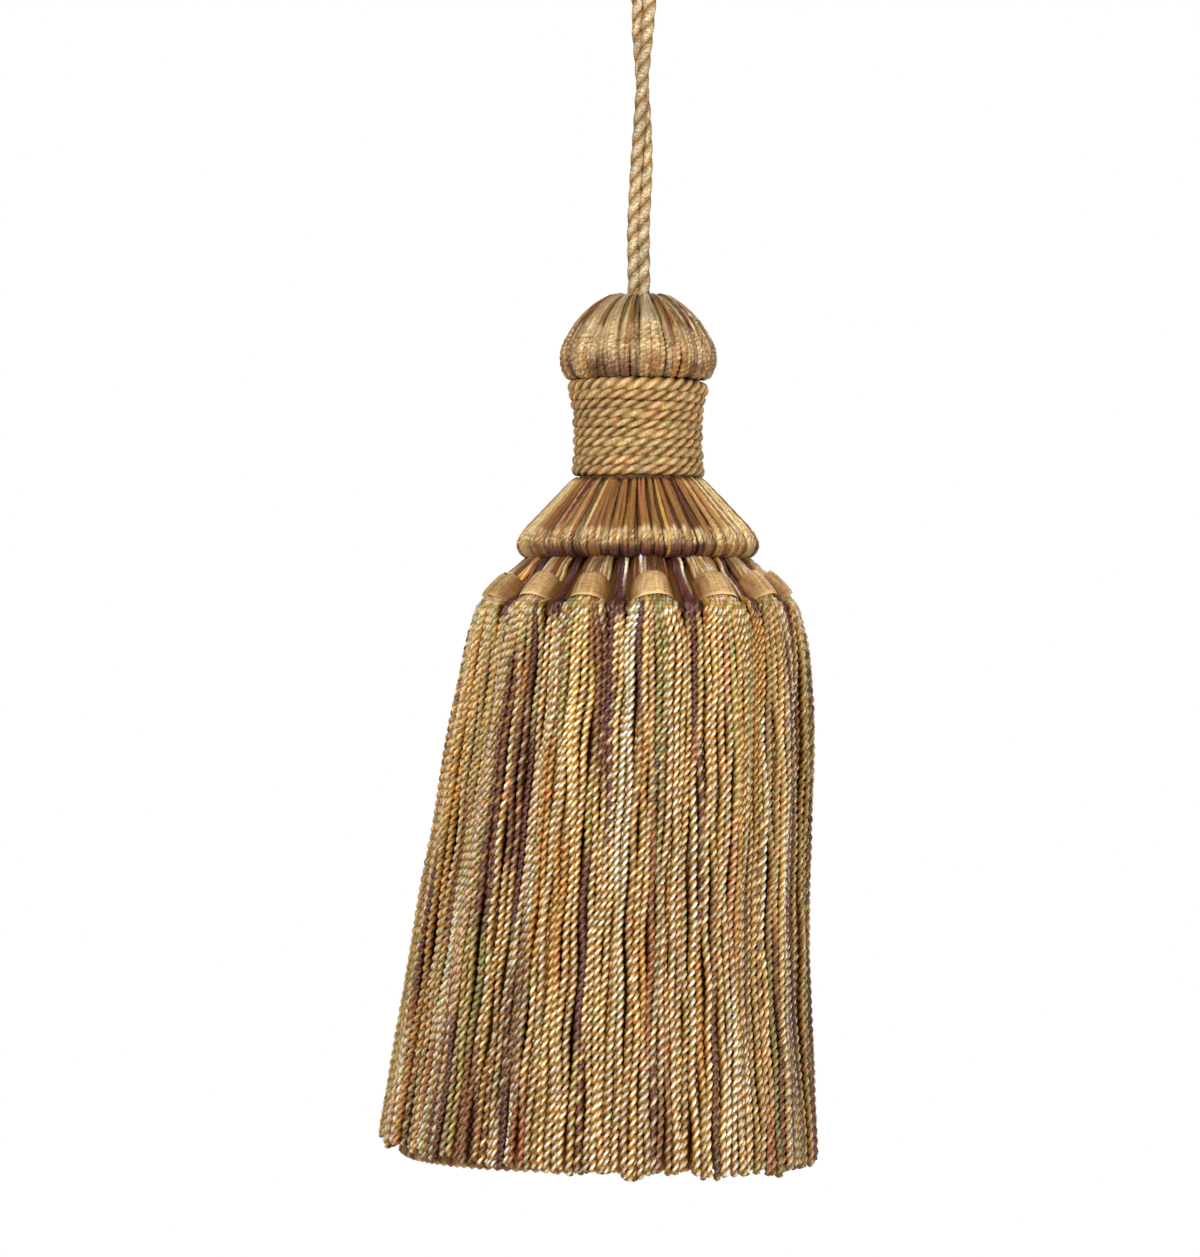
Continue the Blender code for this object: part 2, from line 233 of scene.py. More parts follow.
def paintPoints(obj, rgb, shadeMask):  # the dye, and a mask for painted shade and painted highlight: how far each point stands out of the groove, less on the flanks
    layer = obj.data.attributes.new("yarnColor", "FLOAT_COLOR", "POINT")
    layer.data.foreach_set("color", rgb.ravel())
    layer = obj.data.attributes.new("plyDepthShade", "FLOAT", "POINT")
    layer.data.foreach_set("value", shadeMask.ravel())


def newMaterial(name, looks):
    material = bpy.data.materials.new(name)
    material.use_nodes = True
    shader = material.node_tree.nodes["Principled BSDF"]
    for socket, value in looks.items():
        shader.inputs[socket].default_value = value
    return material, shader


def addNode(material, kind, settings, inputs):
    node = material.node_tree.nodes.new("ShaderNode" + kind)
    for setting, value in settings.items():
        setattr(node, setting, value)
    for socket, value in inputs.items():
        node.inputs[socket].default_value = value
    return node


def joinNodes(material, rows):  # node, its output, next node, its input
    for source, output, target, socket in rows:
        material.node_tree.links.new(source.outputs[output], target.inputs[socket])


def uvNoise(material, uv, scale, detail):  # a noise drawn out along or across the yarn or the ribbon
    mapping = addNode(material, "Mapping", {}, {"Scale": scale})
    noise = addNode(material, "TexNoise", {}, {"Scale": 1.0, "Detail": detail})
    joinNodes(material, [(uv, "UV", mapping, "Vector"), (mapping, "Vector", noise, "Vector")])
    return noise


def spread(material, ends, low, high):  # turns a range of values into another one
    return addNode(material, "MapRange", {}, {"From Min": ends[0], "From Max": ends[1],
                                              "To Min": low, "To Max": high})


multiplyColours = {"data_type": "RGBA", "blend_type": "MULTIPLY"}


def yarnMaterial(name, gloss):
    mat, shader = newMaterial(name, {
        "Roughness": gloss["roughness"], "Specular IOR Level": gloss["specular"],
        "Specular Tint": gloss["shineTint"], "IOR": gloss["ior"], "Sheen Weight": gloss["sheen"],
        "Sheen Roughness": gloss["sheenRoughness"], "Sheen Tint": gloss["sheenTint"]})
    dye = addNode(mat, "Attribute", {"attribute_name": "yarnColor"}, {})
    ply = addNode(mat, "Attribute", {"attribute_name": "plyDepthShade"}, {})
    groove = addNode(mat, "ValToRGB", {}, {})  # painted shade: darker and warmer down between the plies and on the flanks
    ramp = groove.color_ramp.elements
    ramp[0].color = (*gloss["groove"], 1)
    ramp[1].color = (1, 1, 1, 1)
    ramp.new(gloss["grooveWidth"]).color = (*gloss["flank"], 1)
    shade = addNode(mat, "Mix", multiplyColours, {"Factor": 1.0})
    crestHighlight = addNode(mat, "MapRange", {"interpolation_type": "SMOOTHSTEP"},
                  {"From Min": gloss["crestFrom"], "To Max": gloss["crest"]})
    pale = addNode(mat, "Mix", multiplyColours, {"B": gloss["crestTint"]})  # painted highlight: paler on top of each ply
    uv = addNode(mat, "UVMap", {"uv_map": "yarnUv"}, {})
    fibre = uvNoise(mat, uv, gloss["fibre"], 2.0)  # filaments run along each ply
    streak = spread(mat, gloss["streakSpread"], 1.0 - gloss["streak"], 1.0 + gloss["streak"])
    speckle = uvNoise(mat, uv, gloss["pitScale"], 1.0)  # broken filaments and the pits between them
    pits = spread(mat, gloss["pitSpread"], 1.0 - gloss["pits"], 1.0 + gloss["pits"] * gloss["pitLift"])
    both = addNode(mat, "Math", {"operation": "MULTIPLY"}, {})
    scaled = addNode(mat, "VectorMath", {"operation": "SCALE"}, {})
    bump = addNode(mat, "Bump", {}, {"Strength": gloss["bump"], "Distance": gloss["bumpDepth"]})
    joinNodes(mat, [
        (ply, "Fac", groove, "Fac"), (dye, "Color", shade, "A"), (groove, "Color", shade, "B"),
        (ply, "Fac", crestHighlight, "Value"), (crestHighlight, "Result", pale, "Factor"), (shade, "Result", pale, "A"),
        (fibre, "Fac", streak, "Value"), (speckle, "Fac", pits, "Value"),
        (streak, "Result", both, 0), (pits, "Result", both, 1),
        (pale, "Result", scaled, 0), (both, "Value", scaled, "Scale"),
        (scaled, "Vector", shader, "Base Color"),
        (fibre, "Fac", bump, "Height"), (bump, "Normal", shader, "Normal")])
    return mat


# a straight-on camera before plain white, and lamps on all sides
scene = bpy.context.scene
scene.view_settings.view_transform = "Standard"

cameraPlace = {"distance": 1.0, "across": -0.0076, "height": -0.1567, "lens": 143.2,
               "filmWidth": 36.0, "farthest": 20.0}
bpy.ops.object.camera_add(
    location=(cameraPlace["across"], -cameraPlace["distance"], cameraPlace["height"]),
    rotation=(math.radians(90), 0, 0))
camera = bpy.context.object
camera.name = "camera"
camera.data.lens = cameraPlace["lens"]
camera.data.sensor_width = cameraPlace["filmWidth"]
camera.data.clip_end = cameraPlace["farthest"]
scene.camera = camera
bpy.ops.object.select_all(action="DESELECT")

studio = {"floorHeight": -0.42, "floorRadius": 1.0, "floorSides": 96, "white": 0.85, "roughness": 0.9,
          "air": 0.15, "airTint": (1, 0.90, 0.74, 1)}
bpy.ops.mesh.primitive_circle_add(vertices=studio["floorSides"], radius=studio["floorRadius"],
                                  fill_type="NGON", location=(0, 0, studio["floorHeight"]))
floor = bpy.context.object
floor.name = "studioFloor"
floorPaint, _ = newMaterial("studioWhite", {"Base Color": (*[studio["white"]] * 3, 1),
                                            "Roughness": studio["roughness"]})
floor.data.materials.append(floorPaint)
floor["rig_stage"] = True
bpy.ops.object.select_all(action="DESELECT")

world = bpy.data.worlds.new("studioAir")
scene.world = world
world.use_nodes = True
air = world.node_tree.nodes["Background"]
air.inputs["Color"].default_value = studio["airTint"]
air.inputs["Strength"].default_value = studio["air"]
# plain white paper behind, without its glare on the yarns
paper = addNode(world, "Background", {}, {"Color": (1, 1, 1, 1), "Strength": 1.0})
rays = addNode(world, "LightPath", {}, {})
either = addNode(world, "MixShader", {}, {})
joinNodes(world, [
    (rays, "Is Camera Ray", either, "Fac"), (air, "Background", either, 1),
    (paper, "Background", either, 2),
    (either, "Shader", world.node_tree.nodes["World Output"], "Surface")])

lamps = {  # name: place, aim, size, watts, colour
    "keyLight": ((-0.40, -1.20, 0.14), (0, 0, -0.17), 0.32, 14.2, (1.0, 0.98, 0.95)),
    "fillLight": ((0.9, -0.9, 0.0), (0, 0, -0.17), 0.7, 7.2, (1.0, 0.95, 0.85)),
    "leftLight": ((-1.0, -0.75, 0.45), (0, 0, -0.2), 0.15, 3.4, (1.0, 0.97, 0.92)),
    "rightLight": ((1.1, -0.25, 0.2), (0, 0, -0.2), 0.3, 3.4, (1.0, 0.97, 0.92)),
    "backLight": ((0.2, 1.1, 0.3), (0, 0, -0.17), 0.8, 9.0, (1.0, 0.96, 0.90)),
}
for lampName, (place, aim, size, watts, lampColour) in lamps.items():
    bpy.ops.object.light_add(type="AREA", location=place)
    lamp = bpy.context.object
    lamp.name = lampName
    lamp.data.size = size
    lamp.data.energy = watts
    lamp.data.color = lampColour
    way = [aim[k] - place[k] for k in range(3)]
    flat = math.hypot(way[0], way[1])
    lamp.rotation_euler = (math.atan2(flat, -way[2]), 0, math.atan2(-way[0], way[1]))
bpy.ops.object.select_all(action="DESELECT")
print("camera, floor and lights ready")


dyes = {  # dye lots of the space-dyed floss
    "gold": linear(230, 206, 156),
    "tan": linear(212, 190, 154),
    "olive": linear(188, 182, 122),
    "cream": linear(240, 235, 218),
    "white": linear(252, 252, 250),
    "plum": linear(112, 66, 64),
    "brown": linear(150, 106, 68),
    "amber": linear(214, 170, 98),
    "rust": linear(176, 116, 76),
    "sand": linear(236, 218, 182),
    "rose": linear(222, 178, 148),
    "straw": linear(190, 168, 124),
    "honey": linear(196, 152, 98),
    "umber": linear(154, 112, 66),
}
# how often each dye comes up in each kind of yarn
skirtShares = {"gold": 30, "tan": 18, "olive": 8, "sand": 22, "rose": 7, "cream": 2, "plum": 2,
               "brown": 6, "amber": 6, "rust": 2}
headingShares = {"brown": 50, "plum": 10, "tan": 18, "rust": 20, "cream": 1, "olive": 1}
headingLight = {"gold": 32, "tan": 36, "sand": 12, "cream": 1, "brown": 12, "honey": 6, "rust": 2}
headShares = {"gold": 22, "tan": 22, "honey": 28, "umber": 12, "olive": 4, "sand": 4, "rose": 5, "brown": 3}
bellShares = {"honey": 52, "umber": 22, "gold": 6, "tan": 4, "brown": 7, "rust": 3, "amber": 4, "plum": 2}


def dyeYarns(count, stations, seed, stretch, shares, clump=1, tones=0.24):
    # each yarn keeps a dye for a stretch of its length, then runs into the next one
    rng = random.Random(seed)
    names = list(shares)
    weights = [shares[x] for x in names]
    out = np.zeros((count, stations, 3))
    kept = 0
    for i in range(count):
        if kept <= 0:
            plan, at = [], -rng.random() * stretch
            while at < 1.0 + stretch:
                plan.append((at, rng.choices(names, weights)[0]))
                at += stretch * rng.uniform(0.5, 1.5)
            kept = rng.randint(1, clump)
        kept -= 1
        marks = [(at, np.array(dyes[dye]) * rng.uniform(1 - tones, 1 + tones)) for at, dye in plan]
        t = np.linspace(0, 1, stations)
        where = np.array([x[0] for x in marks])
        index = np.clip(np.searchsorted(where, t) - 1, 0, len(marks) - 2)
        picks = np.array([x[1] for x in marks])
        span = where[index + 1] - where[index]
        mix = smoothstep(0.72, 1.0, (t - where[index]) / span)[:, None]
        out[i] = picks[index] * (1 - mix) + picks[index + 1] * mix
    return out


def overDye(colour, centre, axis, marks, zSoft=0.004):
    # marks: angle from the front in degrees, top, foot, dye, yarns wide, share of it on the second ply
    middle = centre - axis
    angle = np.degrees(np.arctan2(middle[..., 0], -middle[..., 1]))
    reach = np.hypot(middle[..., 0], middle[..., 1])
    rows = np.arange(len(centre))
    for where, top, foot, dye, wide, *second in marks:
        mid = (top + foot) / 2
        near = np.argmin(np.abs(centre[..., 2] - mid), axis=1)
        off = np.abs(angle[rows, near] - where)
        outer = reach[rows, near] > np.percentile(reach[rows, near], 3)
        order = np.argsort(np.where(outer, off, 999.0))[:wide]
        for i in order:
            z = centre[i, :, 2]
            mix = smoothstep(top + zSoft, top - zSoft, z) * smoothstep(foot - zSoft, foot + zSoft, z)
            mix = mix[:, None]
            if colour.ndim == 3:
                colour[i] = colour[i] * (1 - mix) + np.array(dyes[dye]) * mix
                continue
            for ply, share in enumerate((1.0, second[0] if second else 1.0)):
                own = mix * share
                colour[i, :, ply] = colour[i, :, ply] * (1 - own) + np.array(dyes[dye]) * mix * share
    return colour


def secondPly(colour, seed):  # many yarns are plied from two dye lots
    rng = random.Random(seed)
    other = dyeYarns(len(colour), colour.shape[1], seed + 3, 0.4, skirtShares, 1)
    share = np.array([rng.choice((0.0, 0.0, 0.4, 0.8, 1.0)) for _ in range(len(colour))])[:, None, None]
    return np.stack([colour, colour * (1 - share) + other * share], axis=2)


def mottle(colour, seed, amount):
    # the floss took the dye unevenly: small turns from rose to olive and from light to dark
    noise = np.random.default_rng(seed).normal(0, 1, (2, *colour.shape[:-1]))
    axis = 2
    for _ in range(2):
        noise = (np.roll(noise, 1, axis) + noise * 2 + np.roll(noise, -1, axis)) / 4
    hue, light = [np.clip(part * 1.9, -2, 2)[..., None] for part in noise]
    rose, olive = np.array((0.5, -0.15, -0.9)), np.array((-0.45, 0.05, -0.55))
    turned = np.where(hue > 0, hue * rose, -hue * olive)
    return colour * (1 + amount * turned) * (1 + amount * 0.8 * light)


yarnGloss = {  # finish of the skirt's strands, which the other yarns start from
    "roughness": 0.42, "specular": 0.5, "shineTint": (1.0, 0.93, 0.80, 1.0), "ior": 1.55,
    "sheen": 0.04, "sheenRoughness": 0.4, "sheenTint": (1.0, 0.86, 0.62, 1.0),
    "groove": (0.26, 0.075, 0.004), "flank": (0.60, 0.44, 0.13), "grooveWidth": 0.46,
    "crest": 1.0, "crestFrom": 0.50, "crestTint": (1.12, 1.20, 1.62, 1),
    "fibre": (26.0, 6.0, 1.0), "streak": 0.14, "bump": 0.35, "bumpDepth": 0.0001,
    "streakSpread": (0.3, 0.7), "pitSpread": (0.34, 0.62), "pitLift": 0.4,
    "pits": 0.10, "pitScale": (8.0, 30.0, 1.0)}
cordGloss = {
    **yarnGloss, "crestFrom": 0.64, "groove": (0.34, 0.17, 0.05), "flank": (0.80, 0.68, 0.46),
    "grooveWidth": 0.6, "fibre": (34.0, 9.0, 1.0), "streak": 0.40, "bump": 1.0, "roughness": 0.62,
    "crest": 0.2, "pits": 0.55, "pitScale": (12.0, 24.0, 1.0)}
neckGloss = {**cordGloss, "pits": 0.30, "groove": (0.20, 0.095, 0.025), "flank": (0.74, 0.60, 0.38)}
coverGloss = {
    **yarnGloss, "groove": (0.28, 0.15, 0.06), "flank": (0.72, 0.58, 0.38), "roughness": 0.36,
    "specular": 0.4, "crest": 0.35, "crestFrom": 0.64, "pits": 0.16, "pitScale": (5.0, 26.0, 1.0)}
skirtYarn = yarnMaterial("skirtYarn", yarnGloss)
cordYarn = yarnMaterial("cordYarn", cordGloss)
neckYarn = yarnMaterial("neckYarn", neckGloss)
headYarn = yarnMaterial("headYarn", coverGloss)
bellYarn = yarnMaterial("bellYarn", coverGloss)
print("yarn finishes mixed")


loopCord = {"diameter": 0.0023, "lay": 0.0076, "ringsPerLay": 20, "sides": 16, "waist": 0.80,
            "plump": 0.57, "legsCloser": 0.00023, "tint": (0.97, 1.08, 1.46), "mottle": 0.08,
            "flankShade": 0.25, "seed": 31}
loopRoute = [  # up one leg from inside the head, round the top and down the other
    (-0.00105, 0, -0.0911), (-0.00105, 0, -0.0880), (-0.00115, 0, -0.0820), (-0.00115, -0.00005, -0.0760),
    (-0.00080, -0.00030, -0.0700), (-0.00035, -0.00065, -0.0640), (0.00015, -0.00100, -0.0580),
    (0.00055, -0.00120, -0.0520), (0.00095, -0.00125, -0.0470), (0.00140, -0.00110, -0.0420),
    (0.00195, -0.00070, -0.0370), (0.00250, -0.00015, -0.0310), (0.00330, 0, -0.0240), (0.00430, 0, -0.0165),
    (0.00500, 0, -0.0100), (0.00480, 0, -0.0055), (0.00330, 0, -0.0024), (0, 0, -0.00115),
    (-0.00330, 0, -0.0024), (-0.00480, 0, -0.0055), (-0.00470, 0, -0.0100), (-0.00350, 0, -0.0165),
    (-0.00170, 0, -0.0240), (-0.00010, 0.00015, -0.0310), (0, 0.00070, -0.0370), (0.00040, 0.00110, -0.0420),
    (0.00080, 0.00125, -0.0470), (0.00125, 0.00120, -0.0520), (0.00160, 0.00100, -0.0580),
    (0.00175, 0.00065, -0.0640), (0.00165, 0.00030, -0.0700), (0.00140, 0.00005, -0.0760),
    (0.00140, 0, -0.0820), (0.00145, 0, -0.0880), (0.00145, 0, -0.0911)]
line = smoothTable(loopRoute, 12)
loopLength = float(arcLength(line)[-1])
legs = np.sign(line[:, 0] - 0.0002) * loopCord["legsCloser"]
line[:, 0] -= legs * smoothstep(-0.060, -0.075, line[:, 2])  # the legs touch above the head
rings = int(loopLength / loopCord["lay"] * loopCord["ringsPerLay"]) + 1
line = evenly(line, rings)


def carryNormal(points, first):  # a normal carried along the line without spin
    tangent = unit(np.gradient(points, axis=0))
    out = np.zeros_like(points)
    out[0] = unit(np.array(first) - np.dot(first, tangent[0]) * tangent[0])
    for i in range(1, len(points)):
        out[i] = unit(out[i - 1] - np.dot(out[i - 1], tangent[i]) * tangent[i])
    return out


loopDyes = [  # place along the cord, width, dye, strength
    (0.10, 0.03, "gold", 0.3), (0.22, 0.05, "plum", 0.14), (0.33, 0.05, "sand", 0.3),
    (0.47, 0.04, "tan", 0.4), (0.60, 0.05, "gold", 0.3), (0.72, 0.04, "rose", 0.3),
    (0.85, 0.05, "gold", 0.3), (0.94, 0.03, "plum", 0.12)]
t = np.linspace(0, 1, rings)
turn = loopLength / loopCord["lay"] * 2 * math.pi * t
turn = turn + math.pi / 2 * smoothstep(0.35, 0.65, t)  # so that the plies of the legs interlock
tint = np.array(dyes["straw"])[None] * np.array(loopCord["tint"]) * np.ones((rings, 1))
for middle, width, dye, share in loopDyes:
    mix = (share * np.exp(-((t - middle) / width) ** 2))[:, None]
    tint = tint * (1 - mix) + np.array(dyes[dye]) * mix
tint = mottle(np.repeat(tint[:, None], 2, axis=1)[None], loopCord["seed"], loopCord["mottle"])
cord = layYarns("loopCord", line[None], carryNormal(line, (0.0, -1.0, 0.0))[None],
                np.full((1, rings), loopCord["diameter"] * loopCord["plump"]), turn[None], tint,
                loopCord["sides"], loopCord["waist"], flankShade=loopCord["flankShade"])
settleObject(cord, "loop_cord", cordYarn)
print("loop cord laid, length", round(loopLength, 4))


neck = {"top": -0.1071, "foot": -0.1262, "turns": 10, "topTurn": 1.3, "radius": 0.0140, "lay": 0.0078,
        "ringsPerLay": 14, "sides": 15, "plies": 3, "waist": 0.52, "plump": 1.36, "tuck": 0.0016,
        "tint": (0.64, 0.585, 0.56), "patches": 16, "patchLight": 0.72, "mottle": 0.12,
        "flankShade": 0.72, "seed": 11, "mottleSeed": 32, "endTuck": 0.12}
neckShape = [(0.0, 1.0), (0.14, 1.0), (0.30, 0.95), (0.48, 0.925), (1.0, 0.95)]  # height, radius
height = neck["top"] - neck["foot"]
thick = height / (neck["turns"] - 1 + neck["topTurn"])
length = neck["turns"] * 2 * math.pi * neck["radius"] * 0.9
rings = int(length / neck["lay"] * neck["ringsPerLay"])
turns = np.linspace(0, neck["turns"], rings)
turnCentre = [neck["top"] - neck["topTurn"] * thick * 0.5]
for k in range(1, neck["turns"]):
    turnCentre.append(neck["top"] - neck["topTurn"] * thick - thick * (k - 0.5))
z = np.interp(turns, np.arange(neck["turns"]) + 0.5, turnCentre)
size = thick / 2 * (1.0 + (neck["topTurn"] - 1.0) * (1 - smoothstep(0.85, 1.15, turns))) * neck["plump"]
outer = neck["radius"] * np.interp((neck["top"] - z) / height, *zip(*neckShape))
# small waves, because a hand lays no two turns alike
reach = outer - size + 0.00012 * np.sin(turns * 9.1) + 0.0001 * np.sin(turns * 23.7 + 1.0)
z = z + 0.00010 * np.sin(turns * 13.3) + 0.00008 * np.sin(turns * 31.1)
endTuck = neck["endTuck"]
tuck = smoothstep(endTuck, 0.0, turns) + smoothstep(neck["turns"] - endTuck, neck["turns"], turns)
reach = reach - neck["tuck"] * tuck  # both ends dive under
angle = math.pi * 0.9 + turns * 2 * math.pi
centre = around(reach, angle, z)
outward = around(1.0, angle, 0.0)
s = arcLength(centre)
rng = random.Random(neck["seed"])
tint = np.array(dyes["gold"])[None] * np.array(neck["tint"]) * np.ones((rings, 1))
for k in range(neck["patches"]):
    middle, width = rng.random(), rng.uniform(0.01, 0.035)
    mix = (rng.uniform(0.3, 0.8) * np.exp(-((turns / neck["turns"] - middle) / width) ** 2))[:, None]
    dye = np.array(dyes[rng.choice(["gold", "straw", "tan", "brown", "amber"])])
    tint = tint * (1 - mix) + dye * neck["patchLight"] * mix
twist = -s / neck["lay"] * 2 * math.pi + 0.35 * np.sin(turns * 3.9) + 0.25 * np.sin(turns * 8.3 + 2)
full = 0.85 + 0.15 * np.sin(turns * 21.0) + 0.12 * np.sin(turns * 47.0 + 1)
winding = layYarns("neckWinding", centre[None], outward[None], size[None], twist[None],
                   mottle(np.repeat(tint[:, None], 2, axis=1)[None], neck["mottleSeed"], neck["mottle"]),
                   neck["sides"], neck["waist"], full[None], neck["plies"], neck["flankShade"])
settleObject(winding, "neck_cord", neckYarn)
print("neck wound,", neck["turns"], "turns")


anyTurn = (0, 6.28)  # range of a random start round a yarn


def turnedLine(sections, form, radius, count):  # side line of a turned form, down from its top
    top, height = form["top"], form["height"]
    rows = [(radius * r[1], top - height * r[0], r[2] if len(r) > 2 else 1.0) for r in sections]
    line = evenly(smoothTable(rows, 14), count, 2)
    for _ in range(count // 60):  # rounds off the corners of the table
        line[1:-1] = 0.25 * line[:-2] + 0.5 * line[1:-1] + 0.25 * line[2:]
    return line


def stations(sections, style):
    # wide steps where the yarn is smooth, close ones where it is twisted
    line = turnedLine(sections, style, style["radius"], 400)
    s = arcLength(line[:, :2])
    split = s[-1] * style["closeFrom"]
    wide, close = style["steps"]
    at = np.concatenate([np.linspace(0, split, max(int(split / wide), 2), endpoint=False),
                         np.linspace(split, s[-1], int((s[-1] - split) / close))])
    return np.stack([np.interp(at, s, line[:, k]) for k in range(3)], axis=1)


coverYarn = {  # what the yarns of the head and the bell share
    "sides": 6, "waist": 0.45, "flankShade": 0.30, "jitter": 0.28, "smoothTwist": 0.12, "sunk": 0.9,
    "startDark": 0.65, "mottle": 0.09}


def fanYarns(name, line, style, marks):
    rng = random.Random(style["seed"])
    count, m = style["yarns"], len(line)

    def draws(low, high):  # one for every yarn
        return np.array([rng.uniform(low, high) for _ in range(count)])

    base = (np.arange(count) + draws(-style["jitter"], style["jitter"])) / count * 2 * math.pi
    edges, at = [], 0
    while at < count:  # bundles of uneven width with a crease between
        step = rng.choice(style["bundle"])
        edges.append((at, min(at + step, count)))
        at += step
    bundleMiddle = np.zeros(count)
    across = np.zeros(count)
    for a, b in edges:
        bundleMiddle[a:b] = ((a + b - 1) / 2) / count * 2 * math.pi
        across[a:b] = np.linspace(-1, 1, b - a) if b - a > 1 else 0.0
    length = arcLength(line[:, :2])
    t = (length / length[-1])[None]
    gather = np.interp(t, [0, style["gatherUntil"], 1], style["gather"] * np.array([1.0, 0.7, 0.25]))
    lean = draws(-1, 1)[:, None]
    phase = draws(*anyTurn)[:, None]
    theta = base[:, None] + (bundleMiddle - base)[:, None] * gather
    theta = theta + math.radians(style["wander"]) * (lean * (t - 0.5) + 0.5 * np.sin(t * 5.0 + phase))
    r, zz, oval = line[:, 0][None], line[:, 1][None], line[:, 2][None]
    pitch = 2 * math.pi * np.maximum(r, 0.001) / count
    radius = np.clip(pitch * style["cover"] * 0.5, style["thin"], style["thick"]) * np.ones((count, 1))
    radius = radius * draws(0.9, 1.12)[:, None]
    tr, tz = np.gradient(line[:, 0], length), np.gradient(line[:, 1], length)
    size = np.hypot(tr, tz)
    nr, nz = -tz / size, tr / size
    crease = style["crease"] * (across[:, None] ** 2) * gather / max(style["gather"], 1e-6)
    lift = draws(-1, 1)[:, None] * style["uneven"]
    sink = radius * style["sunk"] + crease + lift * np.sin(t * 3.0 + phase)
    rr = r - nr[None] * sink
    zc = zz - nz[None] * sink
    centre = np.stack([rr * np.sin(theta), -rr * oval * np.cos(theta), zc], axis=-1)
    centre[..., 0] += style["poleShift"] * smoothstep(style["poleShift"] * 16 + 0.004, 0.0, r)
    normal = around(nr[None], theta, nz[None])
    s = arcLength(centre)
    late = draws(-1, 1)[:, None] * style["lateTwist"]
    loose = smoothstep(style["looseUntil"] - 0.12, style["looseUntil"] + 0.08, t + late)
    smooth = style["smoothTwist"]
    rate = (smooth + (1 - smooth) * loose) * 2 * math.pi / style["lay"]
    step = np.diff(s, axis=1, prepend=0.0)
    uneven = np.random.default_rng(style["seed"]).uniform(0.4, 1.6, step.shape)
    turn = phase + np.cumsum(rate * step * uneven, axis=1)
    flat, full = style["relief"]
    relief = np.broadcast_to(flat + (full - flat) * loose, radius.shape)
    if "under" in style:  # pressed flat again under the rim
        rim = style["under"][1]
        relief = relief * (1 - 0.75 * smoothstep(rim - 0.0001, rim - 0.0012, zc))
    colour = dyeYarns(count, m, style["seed"] + 50, style["dyeStretch"], style["shares"],
                      style["clump"], style["tones"])
    colour = overDye(colour, centre, np.zeros(3), marks, style["markSoft"]) * style["lighten"]
    # painted shade in the creases between the bundles
    colour = colour * (1.0 - style["creaseShade"] * (across[:, None, None] ** 4))
    if "under" in style:  # the rim turns under into its own shade
        low, high, dark = style["under"]
        colour = colour * (1 - smoothstep(high, low, zc)[..., None] * (1 - np.array(dark)))
    if "startShade" in style:  # painted shade where the yarns come out from under the binding
        bindingShade = smoothstep(style["startShade"], style["startShade"] * 0.3, s)[..., None]
        colour = colour * (1 - style["startDark"] * bindingShade)
    # painted highlight: a paler band where the form is fullest, yarn by yarn
    high, low, share, soft = style["pale"]
    shift = draws(-1, 1)[:, None] * style["paleShift"]
    own = np.array([rng.choice((0.2, 0.6, 1.0, 1.5)) for _ in range(count)])[:, None]
    paleHighlight = share * own * smoothstep(low - soft, low + soft, zc + shift)
    paleHighlight = paleHighlight * smoothstep(high + soft, high - soft, zc + shift)
    colour = colour * (1 - paleHighlight[..., None]) + np.array(dyes["sand"]) * paleHighlight[..., None]
    colour = mottle(np.repeat(colour[:, :, None], 2, axis=2), style["seed"] + 9, style["mottle"])
    # slubs catch the light
    patchy = np.random.default_rng(style["seed"] + 12).uniform(-1, 1, (*colour.shape[:3], 1))
    colour = colour * (1 + style["slub"] * (loose * relief)[..., None, None] * patchy)
    return layYarns(name, centre, normal, radius, turn, colour, style["sides"], style["waist"], relief,
                    flankShade=style["flankShade"])


def turnedCore(name, line, inset, steps, shade):  # plain body under the yarns, spun from its side line
    least = 0.0005
    before, heightNow = max(line[0][0] - inset, least), line[0][1] - inset * 0.4
    bpy.ops.mesh.primitive_circle_add(vertices=steps, radius=before, location=(0, 0, heightNow),
                                      fill_type="TRIFAN")
    core = bpy.context.object
    core.name = name
    bpy.ops.object.transform_apply(location=True)
    bpy.ops.object.mode_set(mode="EDIT")
    bpy.ops.mesh.select_all(action="SELECT")
    bpy.ops.mesh.region_to_loop()
    for r, z in line[1:]:
        now = max(r - inset, least)
        bpy.ops.mesh.extrude_edges_move(TRANSFORM_OT_translate={"value": (0, 0, z - heightNow)})
        bpy.ops.transform.resize(value=(now / before, now / before, 1))
        before, heightNow = now, z
    bpy.ops.mesh.edge_face_add()
    closeEditing()
    bpy.ops.object.shade_smooth()
    bpy.ops.object.select_all(action="DESELECT")
    # painted shade: the core is a darkened brown, so that it reads as the shadow between the yarns on it
    size = len(core.data.vertices)
    colour = np.array([*(np.array(dyes["brown"]) * shade), 1.0], np.float32)
    paintPoints(core, np.tile(colour, size), np.full(size, 0.6, np.float32))
    layer = core.data.uv_layers.active or core.data.uv_layers.new(name="yarnUv")
    layer.name = "yarnUv"
    return core


